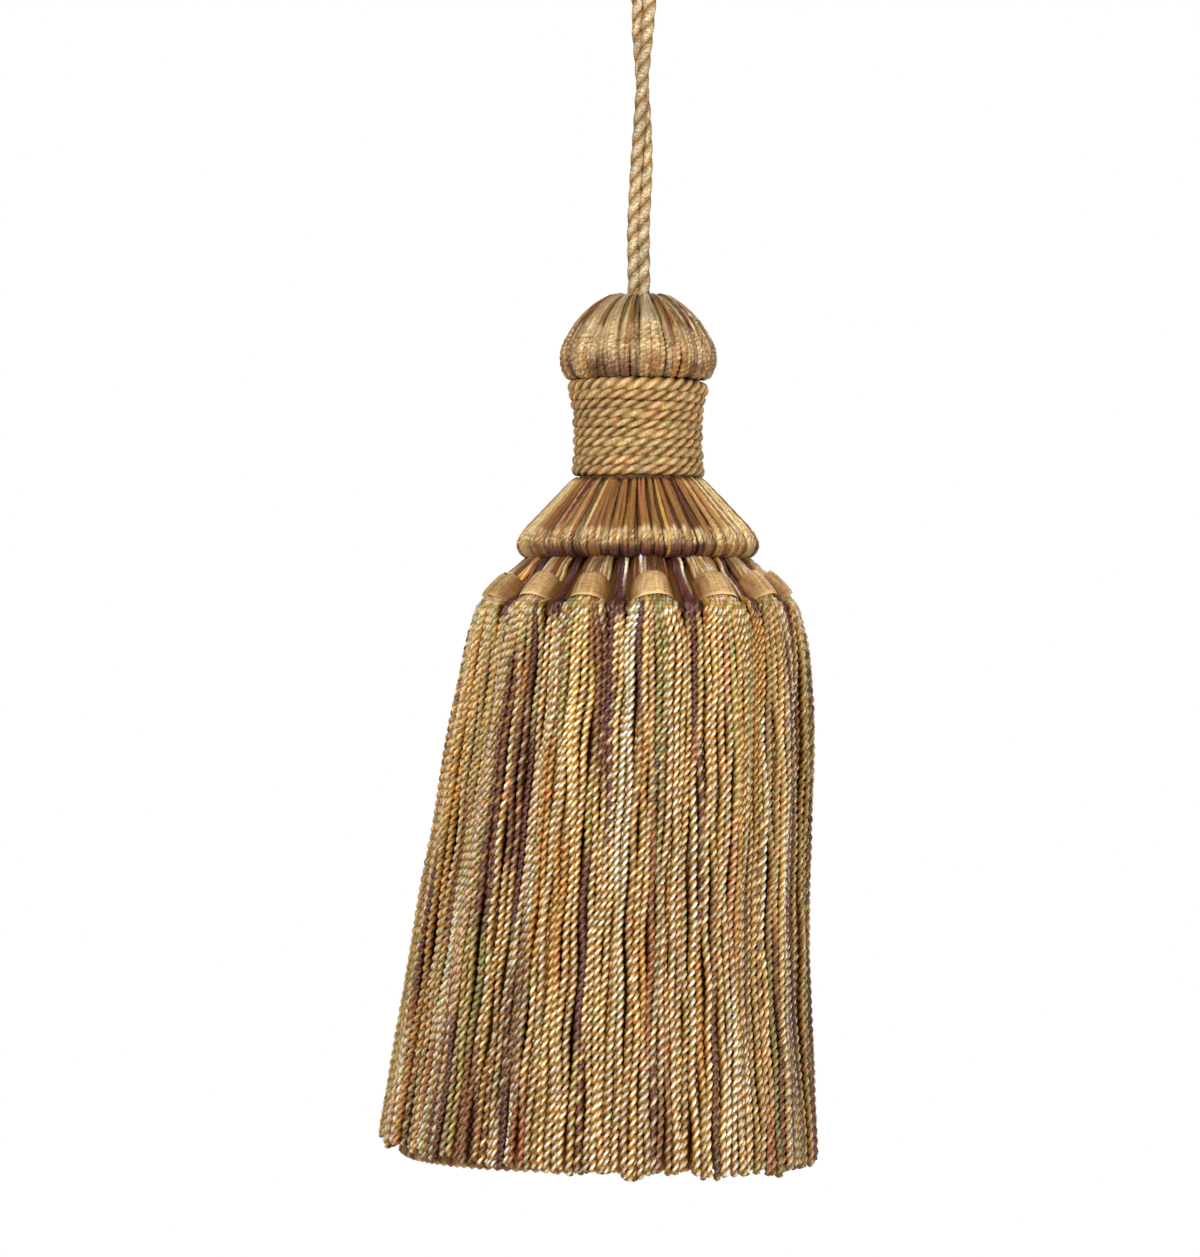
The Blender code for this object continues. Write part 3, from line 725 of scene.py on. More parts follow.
headShape = [  # depth, reach and how flat from front to back, each as a share
    (0.10, 0.085, 0.90), (0.045, 0.13, 0.88), (0.012, 0.22, 0.86), (0.0, 0.33, 0.88), (0.047, 0.45, 0.96),
    (0.141, 0.60, 1.0), (0.235, 0.707, 1.0), (0.34, 0.805, 1.0), (0.48, 0.90, 1.0), (0.612, 0.972, 1.0),
    (0.741, 1.0, 1.0), (0.86, 0.985, 1.0), (0.95, 0.945, 1.0), (1.0, 0.90, 1.0), (1.02, 0.84, 1.0)]
headStyle = {
    **coverYarn, "top": -0.0898, "height": 0.0170, "radius": 0.01580, "coreRadius": 0.01575,
    "coreInset": 0.0019, "coreRings": 12, "coreSides": 48, "closeFrom": 0.45, "steps": (0.0013, 0.00034),
    "seed": 21, "shares": headShares, "yarns": 124, "bundle": (4, 5, 6, 8, 10),
    "gather": 0.07, "gatherUntil": 0.6, "wander": 2.4, "cover": 2.0, "thin": 0.00020, "thick": 0.00078,
    "crease": 0.0008, "uneven": 0.00014, "clump": 2, "tones": 0.12, "poleShift": 0.0004,
    "looseUntil": 0.60, "lateTwist": 0.13, "lay": 0.0021, "dyeStretch": 0.9, "creaseShade": 0.55,
    "lighten": (0.603, 0.577, 0.566), "relief": (0.18, 0.52), "slub": 1.0,
    "pale": (-0.0966, -0.1030, 0.34, 0.0008), "paleShift": 0.0016, "markSoft": 0.004, "coreShade": 0.25}
headMarks = [
    (52, -0.093, -0.106, "plum", 1), (-20, -0.1032, -0.108, "plum", 9), (-34, -0.102, -0.107, "brown", 5),
    (62, -0.094, -0.107, "amber", 2), (20, -0.092, -0.107, "gold", 2), (-50, -0.092, -0.107, "gold", 4),
    (0, -0.0905, -0.107, "tan", 3)]
head = fanYarns("headYarns", stations(headShape, headStyle), headStyle, headMarks)
settleObject(head, "head_cover", headYarn)
coreLine = turnedLine(headShape[3:-1], headStyle, headStyle["coreRadius"], headStyle["coreRings"])
headCore = turnedCore("headCore", coreLine[:, :2].tolist(), headStyle["coreInset"],
                      headStyle["coreSides"], headStyle["coreShade"])
settleObject(headCore, "head_cover", headYarn)
print("head yarns fanned,", headStyle["yarns"])

bellShape = [  # the same, but round all the way
    (0.0, 0.52), (0.035, 0.555), (0.16, 0.636), (0.36, 0.764), (0.56, 0.893), (0.68, 0.962), (0.79, 0.997),
    (0.88, 0.99), (0.96, 0.95), (1.0, 0.88)]
bellStyle = {
    **coverYarn, "top": -0.1265, "height": 0.0164, "radius": 0.02435, "coreInset": 0.0018,
    "coreRings": 14, "coreSides": 64, "closeFrom": 0.56, "steps": (0.0015, 0.00036), "seed": 33,
    "shares": bellShares, "yarns": 250, "bundle": (3, 4, 5, 6, 9, 12), "gather": 0.12,
    "gatherUntil": 0.8, "wander": 1.4, "cover": 2.1, "thin": 0.0002, "thick": 0.00066,
    "crease": 0.0008, "uneven": 0.00012, "clump": 2, "tones": 0.14, "poleShift": 0.0,
    "looseUntil": 0.72, "lateTwist": 0.05, "lay": 0.0022, "dyeStretch": 1.6, "creaseShade": 0.62,
    "lighten": (0.98, 0.98, 0.98), "relief": (0.14, 0.80), "slub": 0.30,
    "pale": (-0.1372, -0.1396, 0.50, 0.0005), "paleShift": 0.0005, "startShade": 0.0008,
    "markSoft": 0.0012, "under": (-0.1404, -0.1391, (0.55, 0.47, 0.38)), "coreShade": 0.25}
# the umber in the middle and the gold at both sides, seen from the front, are painted shade and painted
# sheen; the wide plum under the rim is painted shadow
bellMarks = [
    (8, -0.1265, -0.143, "umber", 30), (-72, -0.1265, -0.143, "gold", 14), (70, -0.1265, -0.143, "gold", 8),
    (20, -0.1265, -0.143, "brown", 5), (3, -0.1265, -0.134, "rust", 4), (-11, -0.1404, -0.145, "plum", 56),
    (-22, -0.1265, -0.143, "plum", 2), (-45, -0.1265, -0.136, "plum", 2), (-24, -0.1265, -0.143, "brown", 5),
    (14, -0.1265, -0.143, "amber", 1), (38, -0.1265, -0.143, "brown", 2), (56, -0.1265, -0.143, "gold", 2)]
bell = fanYarns("bellYarns", stations(bellShape, bellStyle), bellStyle, bellMarks)
settleObject(bell, "bell_cover", bellYarn)
coreLine = turnedLine(bellShape, bellStyle, bellStyle["radius"], bellStyle["coreRings"])
bellCore = turnedCore("bellCore", coreLine[:, :2].tolist(), bellStyle["coreInset"],
                      bellStyle["coreSides"], bellStyle["coreShade"])
settleObject(bellCore, "bell_cover", bellYarn)
print("bell yarns laid,", bellStyle["yarns"])

# plain bodies under the neck here, and under the heading further on
neckBody = {"inset": 0.0006, "sides": 40, "shade": 0.4, "line": [
    (0.0129, -0.1069), (0.0125, -0.1100), (0.0121, -0.1180), (0.0123, -0.1263), (0.0124, -0.1290)]}
neckCore = turnedCore("neckCore", neckBody["line"], neckBody["inset"], neckBody["sides"], neckBody["shade"])
settleObject(neckCore, "neck_cord", cordYarn)


skirt = {
    "outerYarns": 178, "innerYarns": 110, "deepYarns": 240, "seed": 77, "groups": 14,
    "radius": 0.00086, "lay": 0.0034, "ringsPerLay": 5.2, "sides": 8, "waist": 0.40, "flankShade": 0.84,
    "innerRingsPerLay": 4, "innerSides": 6, "spacing": 0.00145, "darkGroups": (0, 13, 5, 9),
    "top": -0.1420, "innerTop": -0.1510, "headingFoot": -0.1530, "lowest": -0.2655,
    "hem": -0.2616, "hemUneven": 0.0006, "hemWave": 0.0003, "hemShort": 0.0013, "hemTilt": 0.0018,
    "tip": 0.0005, "smoothPart": 0.0145, "lobes": 0.0028, "tint": (0.875, 0.975, 1.32), "mottle": 0.16,
    "darkHeading": (0.78, 0.72, 0.64), "lightHeading": (1.08, 1.04, 1.0), "rimShade": (0.50, 0.40, 0.32),
    "deepIn": 0.0060, "deepRow": 0.0021, "deepRings": 12, "deepShade": (0.55, 0.42, 0.24),
    "outerSeed": 501, "innerSeed": 502, "deepSeed": 9, "deepDyeSeed": 600}
settling = {"rounds": 70, "push": 0.28, "home": 0.01, "outward": 0.00004, "deepest": 0.0030}
skirtShape = [  # height, radius and how far it leans to the left, seen from the front
    (-0.1420, 0.0214, 0.0), (-0.1434, 0.0232, 0.0), (-0.1451, 0.0250, 0.0), (-0.1482, 0.0282, 0.0),
    (-0.1513, 0.0312, 0.0), (-0.1530, 0.0322, 0.0), (-0.1560, 0.0333, 0.0), (-0.1650, 0.0352, -0.0003),
    (-0.1750, 0.0366, -0.0011), (-0.1950, 0.0381, -0.0030), (-0.2150, 0.0396, -0.0051),
    (-0.2400, 0.0422, -0.0068), (-0.2616, 0.0446, -0.0082), (-0.2680, 0.0453, -0.0086)]
skirtTable = smoothTable(skirtShape, 16)


def skirtRadius(z):
    return np.interp(-np.asarray(z), -skirtTable[:, 0], skirtTable[:, 1])


def skirtSway(z):
    return np.interp(-np.asarray(z), -skirtTable[:, 0], skirtTable[:, 2])


def hangStraight(angle, z):
    # the skirt leans at its edges, while the yarns in front and behind hang straight down
    return -0.64 * skirtSway(z) / skirtRadius(z) * np.cos(angle)


def settleYarns():
    # level by level the yarns push sideways until none lies in another,
    # and lean out to the skirt's surface
    rng = np.random.default_rng(skirt["seed"])
    nOut, nIn = skirt["outerYarns"], skirt["innerYarns"]
    n = nOut + nIn
    angle = np.concatenate([(np.arange(nOut) + rng.uniform(-0.2, 0.2, nOut)) / nOut,
                            (np.arange(nIn) + rng.uniform(-0.3, 0.3, nIn)) / nIn]) * 2 * math.pi
    levels = np.concatenate([[skirt["headingFoot"], -0.1545, -0.1560, -0.1580, -0.1610],
                             np.arange(-0.165, skirt["lowest"], -0.004)])
    a = skirt["radius"]
    proud = rng.uniform(-0.00022, 0.00012, n)
    at = 0
    while at < nOut:  # bundles of a few yarns hang further in than their neighbours
        size = rng.choice((2, 3, 4, 5))
        proud[at:min(at + size, nOut)] -= rng.choice((0.0, 0.0002, 0.0005, 0.0008))
        at += size
    r = np.concatenate([np.full(nOut, 1.0), np.full(nIn, 0.0)])
    r = skirtRadius(levels[0]) - a - (1 - r) * 0.0014
    home = angle.copy()
    out = np.zeros((len(levels), n, 2))
    for k, z in enumerate(levels):
        limit = skirtRadius(z) - a + proud
        if k:
            r = r + (skirtRadius(z) - skirtRadius(levels[k - 1]))
            angle = angle + hangStraight(home, z) - hangStraight(home, levels[k - 1])
        rest = home + hangStraight(home, z)
        spacing = skirt["spacing"] * np.interp(-z, [0.153, 0.166], [0.86, 1.0])
        for _ in range(settling["rounds"]):
            x, y = r * np.sin(angle), -r * np.cos(angle)
            dx, dy = x[:, None] - x[None], y[:, None] - y[None]
            d = np.hypot(dx, dy) + np.eye(n)
            push = np.clip(spacing - d, 0, None) * settling["push"]
            push[np.arange(n), np.arange(n)] = 0
            x = x + (dx / d * push).sum(1)
            y = y + (dy / d * push).sum(1)
            r, angle2 = np.hypot(x, y), np.arctan2(x, -y)
            angle = angle + (angle2 - angle + math.pi) % (2 * math.pi) - math.pi
            angle = angle + (rest - angle) * settling["home"]
            r = np.clip(r + settling["outward"], skirtRadius(z) - a - settling["deepest"], limit)
        out[k, :, 0], out[k, :, 1] = angle, r
    # neighbours hang together in twos, threes and fours, with a narrow gap on either side
    order = np.argsort(out[8, :nOut, 0])
    at = 0
    while at < nOut:
        members = order[at:at + rng.choice((3, 4, 5, 6, 8))]
        at += len(members)
        middle = out[:, members, 0].mean(axis=1, keepdims=True)
        closer = 0.07 + 0.08 * np.sin(levels * rng.uniform(90, 260) + rng.uniform(0, 6.28))
        closer = closer * smoothstep(-0.156, -0.172, levels)
        out[:, members, 0] += (middle - out[:, members, 0]) * closer[:, None]
    # an even line down each yarn
    kernel = np.array([0.25, 0.5, 0.25])
    for _ in range(2):
        padded = np.concatenate([out[:1], out, out[-1:]])
        out = kernel[0] * padded[:-2] + kernel[1] * padded[1:-1] + kernel[2] * padded[2:]
    return levels, out


levels, settled = settleYarns()
print("yarns settled")
groupCount = skirt["groups"]
patchAngles = np.radians([4.7, 33.6, 58.5, 84.0, 111.0, 136.0, 160.5, 187.0, 214.0, 238.0, 264.0,
                          290.0, 315.0, 339.5])
patchAngles = np.concatenate([patchAngles[-2:] - 2 * math.pi, patchAngles, patchAngles[:2] + 2 * math.pi])
patchNumbers = np.arange(-2, groupCount + 2)
bundleShape = smoothTable([  # from the middle of a patch to halfway to the next, how far it stands out
    (0.0, 0.0008), (0.18, 0.0007), (0.34, 0.0002), (0.46, -0.0004), (0.56, -0.0013), (0.68, -0.0028),
    (0.82, -0.0039), (1.0, -0.0043)], 10)


def groupPlace(theta):  # counts up by one from patch to patch round the heading
    rounds = np.floor(theta / (2 * math.pi))
    return np.interp(theta - rounds * 2 * math.pi, patchAngles, patchNumbers) + rounds * groupCount


def placeAngle(place):
    rounds = np.floor(place / groupCount)
    return np.interp(place - rounds * groupCount, patchNumbers, patchAngles) + rounds * 2 * math.pi


def acrossGroup(theta):  # 0 in the middle of a patch of ribbon, -1 and 1 halfway to the next
    return (groupPlace(theta) * 2 + 1.0) % 2.0 - 1.0


def bundleLift(u):  # how far the ribbon and the bundle under it stand out
    return np.interp(np.abs(u), bundleShape[:, 0], bundleShape[:, 1])


def yarnRoutes(picks, rings, rng, startZ):
    n = len(picks)
    foot = skirt["headingFoot"]
    fine = np.concatenate([np.linspace(startZ, foot, 20, endpoint=False),
                           np.linspace(foot, skirt["lowest"], 110)])
    theta = np.stack([np.interp(-fine, -levels, settled[:, i, 0]) for i in picks])
    drop = np.stack([np.interp(-fine, -levels, settled[:, i, 1] - skirtRadius(levels)) for i in picks])
    # each group is drawn together under its patch of ribbon and puffs out below it
    u = acrossGroup(theta[:, :1])
    gap = np.abs(u) > 0.80
    drawn = np.where(gap, np.sign(u) * (1 - (1 - np.abs(u)) * 0.8), u * 0.58 / 0.80)
    hold = smoothstep(-0.1590, -0.1508, fine)[None]
    theta = placeAngle(groupPlace(theta) + (drawn - u) / 2 * hold)
    u = np.clip(u + (drawn - u) * hold, -1, 1)
    tape = smoothstep(-0.1520, -0.1504, fine)[None] * (1 - 0.6 * smoothstep(-0.1458, -0.1440, fine)[None])
    puff = (smoothstep(-0.1504, foot, fine) * smoothstep(-0.1740, -0.1560, fine))[None]
    lift = tape * np.where(gap, -0.0026, bundleLift(u) - 0.00045)
    bulge = puff * (0.0006 - 0.0015 * u * u)
    thin = 1.0 - 0.36 * smoothstep(-0.1550, -0.1440, fine)[None]
    a = skirt["radius"] * thin
    under = np.where(fine[None] > foot, -a + (drop + skirt["radius"]) * 0.6, drop)
    reach = skirtRadius(fine)[None] + under + lift * 0.7 + bulge
    phase = rng.uniform(*anyTurn, (n, 3))
    sway = 0.00016 * np.sin(fine[None] * 330 + phase[:, :1])
    sway = sway + 0.00028 * np.sin(fine[None] * 120 + phase[:, 1:2])
    loosen = smoothstep(-0.154, -0.170, fine)[None]
    theta = theta + sway * loosen / np.maximum(reach, 0.01)
    reach = reach + 0.00010 * np.sin(fine[None] * 210 + phase[:, 2:3]) * loosen
    hollow = np.interp(-fine, [0.156, 0.172, 0.215, 0.262], [0.0, 1.0, 0.9, 0.6])[None] * skirt["lobes"]
    # each group hangs as a soft lobe
    reach = reach + hollow * (0.5 * np.cos(math.pi * acrossGroup(theta)) - 0.3)
    line = around(reach, theta, fine[None] + lift * 0.7 * np.where(gap, 0, 1))
    line[..., 0] += skirtSway(fine)[None]
    # trimmed by eye, so not level, and shorter at the left edge, seen from the front
    about = theta[:, -1]
    hem = skirt["hem"] - skirt["hemTilt"] * np.sin(about) + rng.uniform(-1, 1, n) * skirt["hemUneven"]
    hem = hem + skirt["hemWave"] * (np.sin(about * 17 + 1.3) + np.sin(about * 31 + 0.4) + 1.0)
    hem = hem + skirt["hemShort"] * np.clip(-np.sin(about), 0, 1) ** 4
    out = np.zeros((n, rings, 3))
    thinOut = np.zeros((n, rings))
    tip, smooth = skirt["tip"], skirt["smoothPart"]
    for i in range(n):
        s = arcLength(line[i])
        end = np.interp(-hem[i], -fine, s)
        at = np.concatenate([np.linspace(0, smooth, 14, endpoint=False),
                             np.linspace(smooth, end - tip, rings - 17),
                             end - tip * np.array([0.55, 0.22, 0.04])])
        for k in range(3):
            out[i, :, k] = np.interp(at, s, line[i, :, k])
        rounded = np.clip(1 - np.clip((at - end + tip) / tip, 0, 1) ** 2, 0.04, 1)
        thinOut[i] = np.interp(at, s, thin[0]) * np.sqrt(rounded)
    return out, thinOut


skirtMarks = [  # angle, top, foot, dye, yarns wide, share of the second ply
    (-5.7, -0.1400, -0.1475, "cream", 1), (1.3, -0.1400, -0.1460, "cream", 1),
    (-12.5, -0.1480, -0.1540, "cream", 1), (22, -0.1400, -0.1480, "sand", 1),
    (27, -0.1400, -0.1480, "tan", 2), (33, -0.1400, -0.1500, "sand", 1),
    (-43, -0.160, -0.216, "plum", 2, 0.6), (-38, -0.172, -0.204, "plum", 2, 0.6),
    (-34.5, -0.176, -0.216, "plum", 1), (-60, -0.190, -0.216, "brown", 1),
    (-50.5, -0.222, -0.262, "plum", 1, 0.8), (-29.5, -0.222, -0.252, "plum", 1, 0.5),
    (-27, -0.190, -0.214, "cream", 1), (-23.5, -0.178, -0.222, "amber", 2),
    (-7.5, -0.165, -0.200, "plum", 1, 0.4), (-7.5, -0.200, -0.238, "plum", 1),
    (-2.1, -0.151, -0.206, "white", 2), (1.6, -0.204, -0.232, "cream", 1),
    (0.8, -0.150, -0.172, "plum", 1), (-5.0, -0.236, -0.262, "plum", 1, 0.3),
    (5.5, -0.176, -0.192, "amber", 1), (8.5, -0.180, -0.204, "plum", 1, 0.2),
    (12.3, -0.192, -0.240, "rust", 1), (10.3, -0.214, -0.236, "amber", 1),
    (13.7, -0.238, -0.262, "plum", 1, 0.3), (17, -0.246, -0.262, "brown", 1),
    (20.0, -0.150, -0.178, "plum", 1), (24.5, -0.178, -0.216, "plum", 1, 0.4),
    (27.5, -0.216, -0.246, "amber", 1), (33.5, -0.240, -0.262, "sand", 1),
    (37.4, -0.226, -0.262, "cream", 1), (51, -0.172, -0.216, "cream", 1),
    (70, -0.160, -0.236, "plum", 1, 0.3), (82, -0.158, -0.236, "plum", 2, 0.5),
    (63.5, -0.244, -0.262, "plum", 1), (-67, -0.236, -0.262, "cream", 1),
    (-22, -0.246, -0.262, "rust", 2), (-59, -0.236, -0.252, "rust", 1),
    (-24.5, -0.246, -0.262, "cream", 1), (-38, -0.150, -0.172, "plum", 1),
    (-17, -0.196, -0.226, "amber", 2), (-46, -0.232, -0.262, "plum", 1),
    (-40, -0.238, -0.262, "brown", 2), (-27, -0.244, -0.262, "plum", 1),
    (-56, -0.170, -0.200, "brown", 1), (-68, -0.200, -0.232, "plum", 1, 0.6),
    (62, -0.158, -0.240, "plum", 1, 0.8), (72, -0.152, -0.250, "plum", 2, 0.9),
    (44, -0.200, -0.236, "brown", 1), (57, -0.216, -0.262, "plum", 1, 0.5)]


def hangSkirt(picks, ringsPerLay, startZ, seed):
    rng = np.random.default_rng(seed)
    lay = skirt["lay"]
    rings = int(0.106 / lay * ringsPerLay) + 17
    centre, thin = yarnRoutes(picks, rings, rng, startZ)
    axis = np.stack([skirtSway(centre[..., 2]), np.zeros(centre.shape[:2]), centre[..., 2]], axis=-1)
    outward = unit(centre - axis)
    radius = skirt["radius"] * thin * rng.uniform(0.95, 1.06, len(picks))[:, None]
    s = arcLength(centre)
    ease = smoothstep(-0.1485, -0.1560, centre[..., 2])
    slack = np.interp(-centre[..., 2], [0.155, 0.262], [1.06, 0.92])  # the twist opens toward the hem
    rate = (0.22 + 0.78 * ease) * slack * 2 * math.pi / lay
    turn = rng.uniform(*anyTurn, (len(picks), 1)) + np.cumsum(
        rate * np.diff(s, axis=1, prepend=0.0), axis=1) * rng.uniform(0.90, 1.08, (len(picks), 1))
    relief = 0.35 + 0.65 * ease
    colour = secondPly(dyeYarns(len(picks), rings, seed + 5, 0.45, skirtShares, 2), seed - 440)
    heading = dyeYarns(len(picks), rings, seed + 6, 2.0, headingShares, 3) * skirt["darkHeading"]
    group = np.floor(groupPlace(settled[0, picks, 0]) + 0.5) % groupCount
    light = ~np.isin(group, skirt["darkGroups"])
    pale = dyeYarns(len(picks), rings, seed + 7, 2.0, headingLight, 2) * skirt["lightHeading"]
    heading[light] = pale[light]
    # the yarns in the dips between the groups are dyed plum and darkened further: painted shade in the dips
    pit = (np.abs(acrossGroup(settled[0, picks, 0])) > 0.78) & (rng.random(len(picks)) < 0.75)
    heading[pit] = np.array(dyes["plum"]) * np.where(light[pit], 0.9, 0.7)[:, None, None]
    held = smoothstep(-0.1535, -0.1475, centre[..., 2])
    held[pit] = smoothstep(-0.1560, -0.1530, centre[pit, :, 2])
    held = held[..., None, None]
    colour = colour * (1 - held) + heading[:, :, None] * held
    # painted light: brighter near the top of the skirt, darker toward the hem
    heightLight = np.interp(-centre[..., 2], [0.150, 0.172, 0.205, 0.250], [1.10, 1.09, 0.98, 0.91])
    colour = colour * heightLight[..., None, None]
    shade = smoothstep(-0.1462, -0.1432, centre[..., 2])[..., None, None]  # close under the rim of the bell
    colour = colour * (1 - shade * (1 - np.array(skirt["rimShade"])))
    colour = mottle(overDye(colour, centre, axis, skirtMarks), seed - 430, skirt["mottle"])
    colour = colour * np.array(skirt["tint"])
    return centre, outward, radius, turn, colour, relief, axis


outerPicks = list(range(skirt["outerYarns"]))
innerPicks = list(range(skirt["outerYarns"], skirt["outerYarns"] + skirt["innerYarns"]))
centre, outward, radius, turn, colour, relief, axis = hangSkirt(
    outerPicks, skirt["ringsPerLay"], skirt["top"], skirt["outerSeed"])
middleAngle = np.degrees(np.arctan2((centre - axis)[:, 60, 0], -(centre - axis)[:, 60, 1]))
sectors = {"skirtFront": (-45, 45), "skirtRight": (45, 135), "skirtBack": (135, 225), "skirtLeft": (225, 315)}
for pieceName, (low, high) in sectors.items():
    keep = np.where(((middleAngle - low) % 360) < (high - low))[0]
    piece = layYarns(pieceName, centre[keep], outward[keep], radius[keep], turn[keep], colour[keep],
                     skirt["sides"], skirt["waist"], relief[keep], flankShade=skirt["flankShade"])
    settleObject(piece, "skirt", skirtYarn)
centre, outward, radius, turn, colour, relief, axis = hangSkirt(
    innerPicks, skirt["innerRingsPerLay"], skirt["innerTop"], skirt["innerSeed"])
inner = layYarns("skirtInner", centre, outward, radius, turn, colour, skirt["innerSides"],
                 skirt["waist"], relief, flankShade=skirt["flankShade"])
settleObject(inner, "skirt", skirtYarn)
rng = np.random.default_rng(skirt["deepSeed"])  # plain yarns deep inside, seen only through gaps
deep = skirt["deepYarns"]
fine = np.linspace(-0.1500, -0.2610, skirt["deepRings"])
theta = (np.arange(deep) + rng.uniform(-0.15, 0.15, deep))[:, None] / deep * 2 * math.pi
theta = theta + rng.uniform(-0.004, 0.004, (deep, 1)) * np.sin(fine * 90)[None]
row = (np.arange(deep) % 2)[:, None]  # two close rows
reach = skirtRadius(fine)[None] - skirt["deepIn"] - row * skirt["deepRow"]
centre = around(reach, theta, fine)
centre[..., 0] += skirtSway(fine)[None]
turn = rng.uniform(*anyTurn, (deep, 1)) + np.arange(skirt["deepRings"])[None] * 0.9
# painted shade: the deep yarns are darkened for the shadow inside the skirt
colour = dyeYarns(deep, skirt["deepRings"], skirt["deepDyeSeed"], 0.5, skirtShares, 2) * skirt["deepShade"]
deepYarns = layYarns("skirtDeep", centre, around(1.0, theta, 0.0), reach * math.pi / (deep / 2) * 1.25,
                     turn, colour, 5, 0.88)
settleObject(deepYarns, "skirt", skirtYarn)
headingBody = {"inset": 0.0022, "sides": 72, "shade": 0.42, "line": [
    (0.0205, -0.14176), (0.0222, -0.1434), (0.0247, -0.1452), (0.0280, -0.1483),
    (0.0309, -0.1512), (0.0319, -0.1530), (0.0315, -0.1545)]}
headingCore = turnedCore("headingCore", headingBody["line"], headingBody["inset"], headingBody["sides"],
                         headingBody["shade"])
settleObject(headingCore, "skirt", skirtYarn)
print("skirt hung,", skirt["outerYarns"] + skirt["innerYarns"], "yarns")


ribbon = {  # woven over and under the groups of the heading
    "width": 0.0062, "thick": 0.00032, "middle": (0.0284, -0.1481), "slope": 45, "crown": 0.00025,
    "stepsPerGroup": 28, "acrossCount": 9, "thinEdge": 0.4, "slip": 0.0004, "tilt": 0.0011,
    "uvStep": 0.08, "patchShadeSpread": 0.30, "dull": linear(138, 102, 62), "bright": linear(224, 190, 138),
    "dipShade": (0.34, 0.22, 0.11), "shine": (1.0, 0.88, 0.66), "roughness": 0.5, "specular": 0.35,
    "warp": (9.0, 1.2, 1.0), "weft": (4.0, 16.0, 1.0), "weftShare": 0.45, "tones": (0.33, 0.64),
    "selvedge": 0.12, "bump": 0.6, "bumpDepth": 0.00025, "seed": 15, "dipSeed": 6}
steps = groupCount * ribbon["stepsPerGroup"]
theta = np.arange(steps) / steps * 2 * math.pi
offset = bundleLift(acrossGroup(theta))
slope = math.radians(ribbon["slope"])
down = np.array([math.cos(slope), -math.sin(slope)])  # along the width, outward and down
out = np.array([math.sin(slope), math.cos(slope)])
w = np.linspace(-0.5, 0.5, ribbon["acrossCount"])
section = []
for side in (1, -1):
    for q in (w if side == 1 else w[::-1]):
        edge = 1.0 if abs(q) < 0.49 else ribbon["thinEdge"]
        section.append((q * ribbon["width"],
                        side * ribbon["thick"] / 2 * edge + ribbon["crown"] * (1 - 4 * q * q)))
section = np.array(section)
u = acrossGroup(theta)
narrow = np.interp(np.abs(u), [0.0, 0.35, 0.65, 1.0], [1.04, 1.0, 0.84, 0.80])  # drawn in at the dips
rMid, zMid = ribbon["middle"]
rng = np.random.default_rng(ribbon["seed"])
number = np.floor(groupPlace(theta) + 0.5).astype(int) % groupCount
slip = rng.uniform(-ribbon["slip"], ribbon["slip"], groupCount)[number]
tilt = rng.uniform(-ribbon["tilt"], ribbon["tilt"], groupCount)[number]
slip = (slip + tilt * u) * (1 - u * u)  # no two patches lie quite the same
along = section[None, :, 0] * narrow[:, None] + slip[:, None]
rr = rMid + along * down[0] + (section[None, :, 1] + offset[:, None]) * out[0]
zz = zMid + along * down[1] + (section[None, :, 1] + offset[:, None]) * out[1]
points = around(rr, theta[:, None], zz)
k = len(section)
i = np.arange(steps)[:, None]
j = np.arange(k)[None]
nextStep = (i + 1) % steps
quads = np.stack([i * k + j, nextStep * k + j, nextStep * k + (j + 1) % k, i * k + (j + 1) % k], -1)
u = (np.arange(steps)[:, None] * 1.0 + np.zeros((1, k))) * ribbon["uvStep"]
uNext = u + ribbon["uvStep"]
v = np.broadcast_to(section[None, :, 0] / ribbon["width"] + 0.5, u.shape)
vNext = np.roll(v, -1, axis=1)
ribbonUv = np.stack([np.stack(corner, -1) for corner in ((u, v), (uNext, v), (uNext, vNext), (u, vNext))],
                    axis=2)
band = makeMesh("ribbonBand", points.reshape(-1, 3), [quads.reshape(-1, 4)], [ribbonUv])
bpy.context.view_layer.objects.active = band
band.select_set(True)
bpy.ops.object.mode_set(mode="EDIT")
closeEditing()
bpy.ops.object.select_all(action="DESELECT")

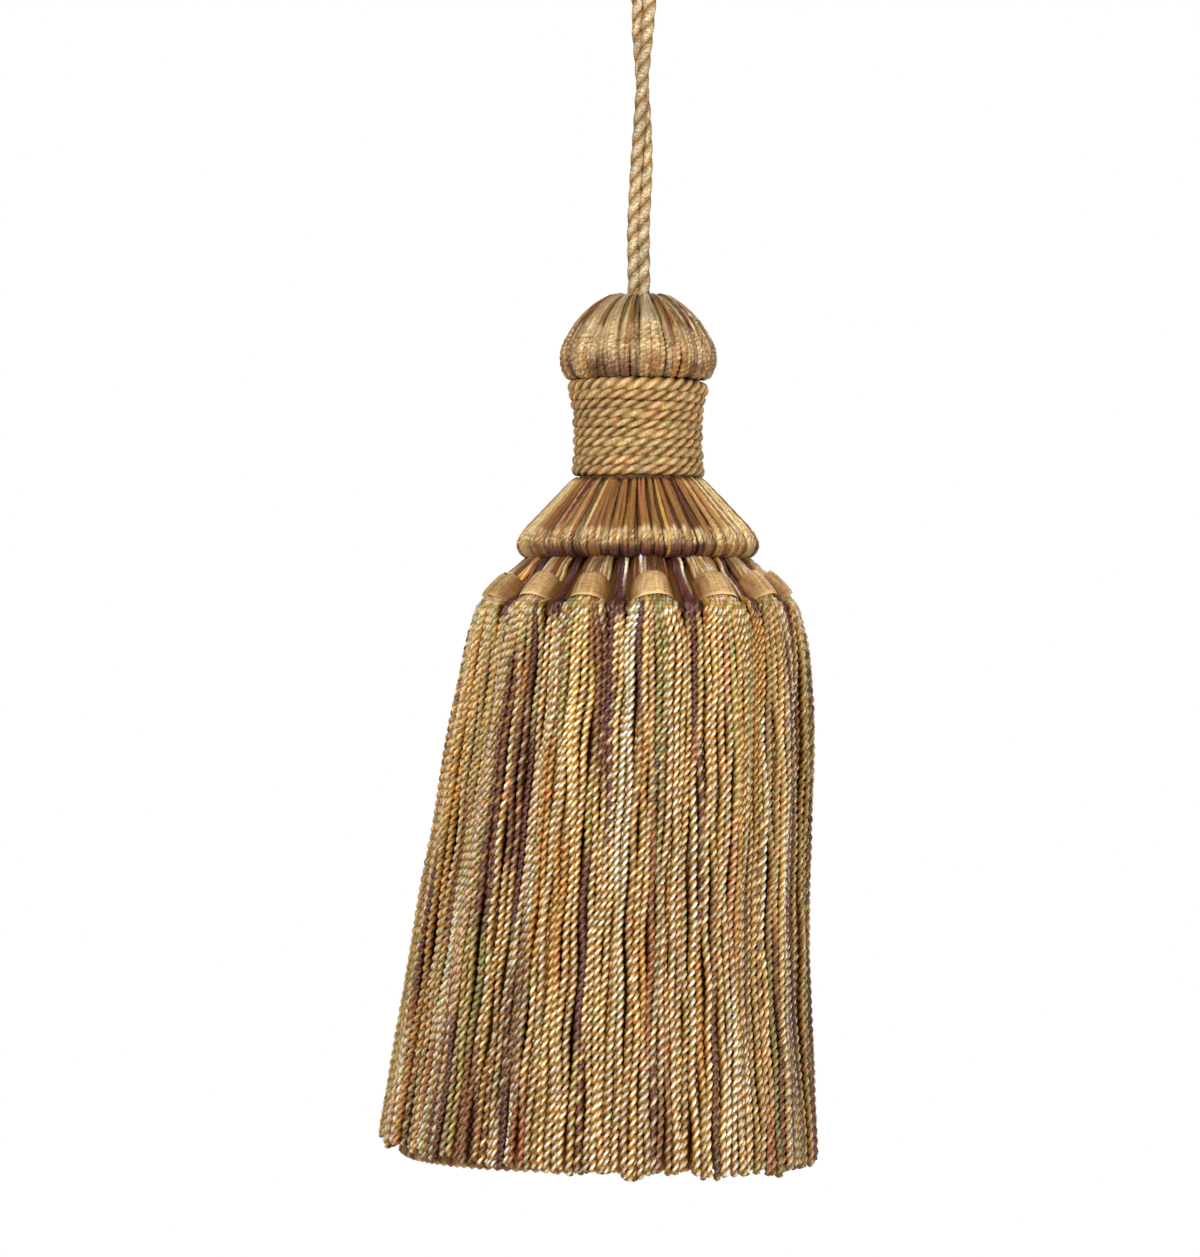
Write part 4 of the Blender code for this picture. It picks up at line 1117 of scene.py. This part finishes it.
satin, shader = newMaterial("ribbonSatin", {
    "Roughness": ribbon["roughness"], "Specular IOR Level": ribbon["specular"],
    "Specular Tint": (*ribbon["shine"], 1.0)})
uv = addNode(satin, "UVMap", {"uv_map": "yarnUv"}, {})
warp = uvNoise(satin, uv, ribbon["warp"], 2.0)
weft = uvNoise(satin, uv, ribbon["weft"], 3.0)  # fine cross threads
weave = addNode(satin, "Mix", {}, {"Factor": ribbon["weftShare"]})
tone = addNode(satin, "ValToRGB", {}, {})
ramp = tone.color_ramp.elements
for stop, dye in enumerate((ribbon["dull"], ribbon["bright"])):
    ramp[stop].position = ribbon["tones"][stop]
    ramp[stop].color = (*dye, 1)
apart = addNode(satin, "SeparateXYZ", {}, {})
rim = addNode(satin, "Math", {"operation": "PINGPONG"}, {1: 0.5})
edge = spread(satin, (0.0, ribbon["selvedge"]), 1.0, 0.0)
bright = addNode(satin, "Mix", {"data_type": "RGBA"}, {"B": (*ribbon["bright"], 1)})  # woven edges
tuck = addNode(satin, "Attribute", {"attribute_name": "tuck"}, {})
deepen = addNode(satin, "Mix", multiplyColours, {"B": (*ribbon["dipShade"], 1)})  # painted shade where the ribbon dips between the groups
bump = addNode(satin, "Bump", {}, {"Strength": ribbon["bump"], "Distance": ribbon["bumpDepth"]})
joinNodes(satin, [
    (warp, "Fac", weave, "A"), (weft, "Fac", weave, "B"), (weave, "Result", tone, "Fac"),
    (uv, "UV", apart, "Vector"), (apart, "Y", rim, 0), (rim, "Value", edge, "Value"),
    (edge, "Result", bright, "Factor"), (tone, "Color", bright, "A"), (tuck, "Fac", deepen, "Factor"),
    (bright, "Result", deepen, "A"), (deepen, "Result", shader, "Base Color"),
    (weave, "Result", bump, "Height"), (bump, "Normal", shader, "Normal")])
layer = band.data.attributes.new("tuck", "FLOAT", "POINT")
# painted shade: some patches are darker than others, at random, on top of the painted shade at the dips
patchShade = np.random.default_rng(ribbon["dipSeed"]).uniform(0.0, ribbon["patchShadeSpread"], groupCount)
patchShade[0] = 0.0
tuckNow = np.clip(patchShade[number] + np.interp(np.abs(acrossGroup(theta)), [0.24, 0.64], [0, 1]), 0, 1)
layer.data.foreach_set("value", np.repeat(tuckNow, k).astype(np.float32))
settleObject(band, "ribbon", satin)
print("ribbon woven,", groupCount, "patches")

total = sum(sum(len(p.vertices) - 2 for p in o.data.polygons)
            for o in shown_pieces() if "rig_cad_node" not in o)
print("triangles added:", total)
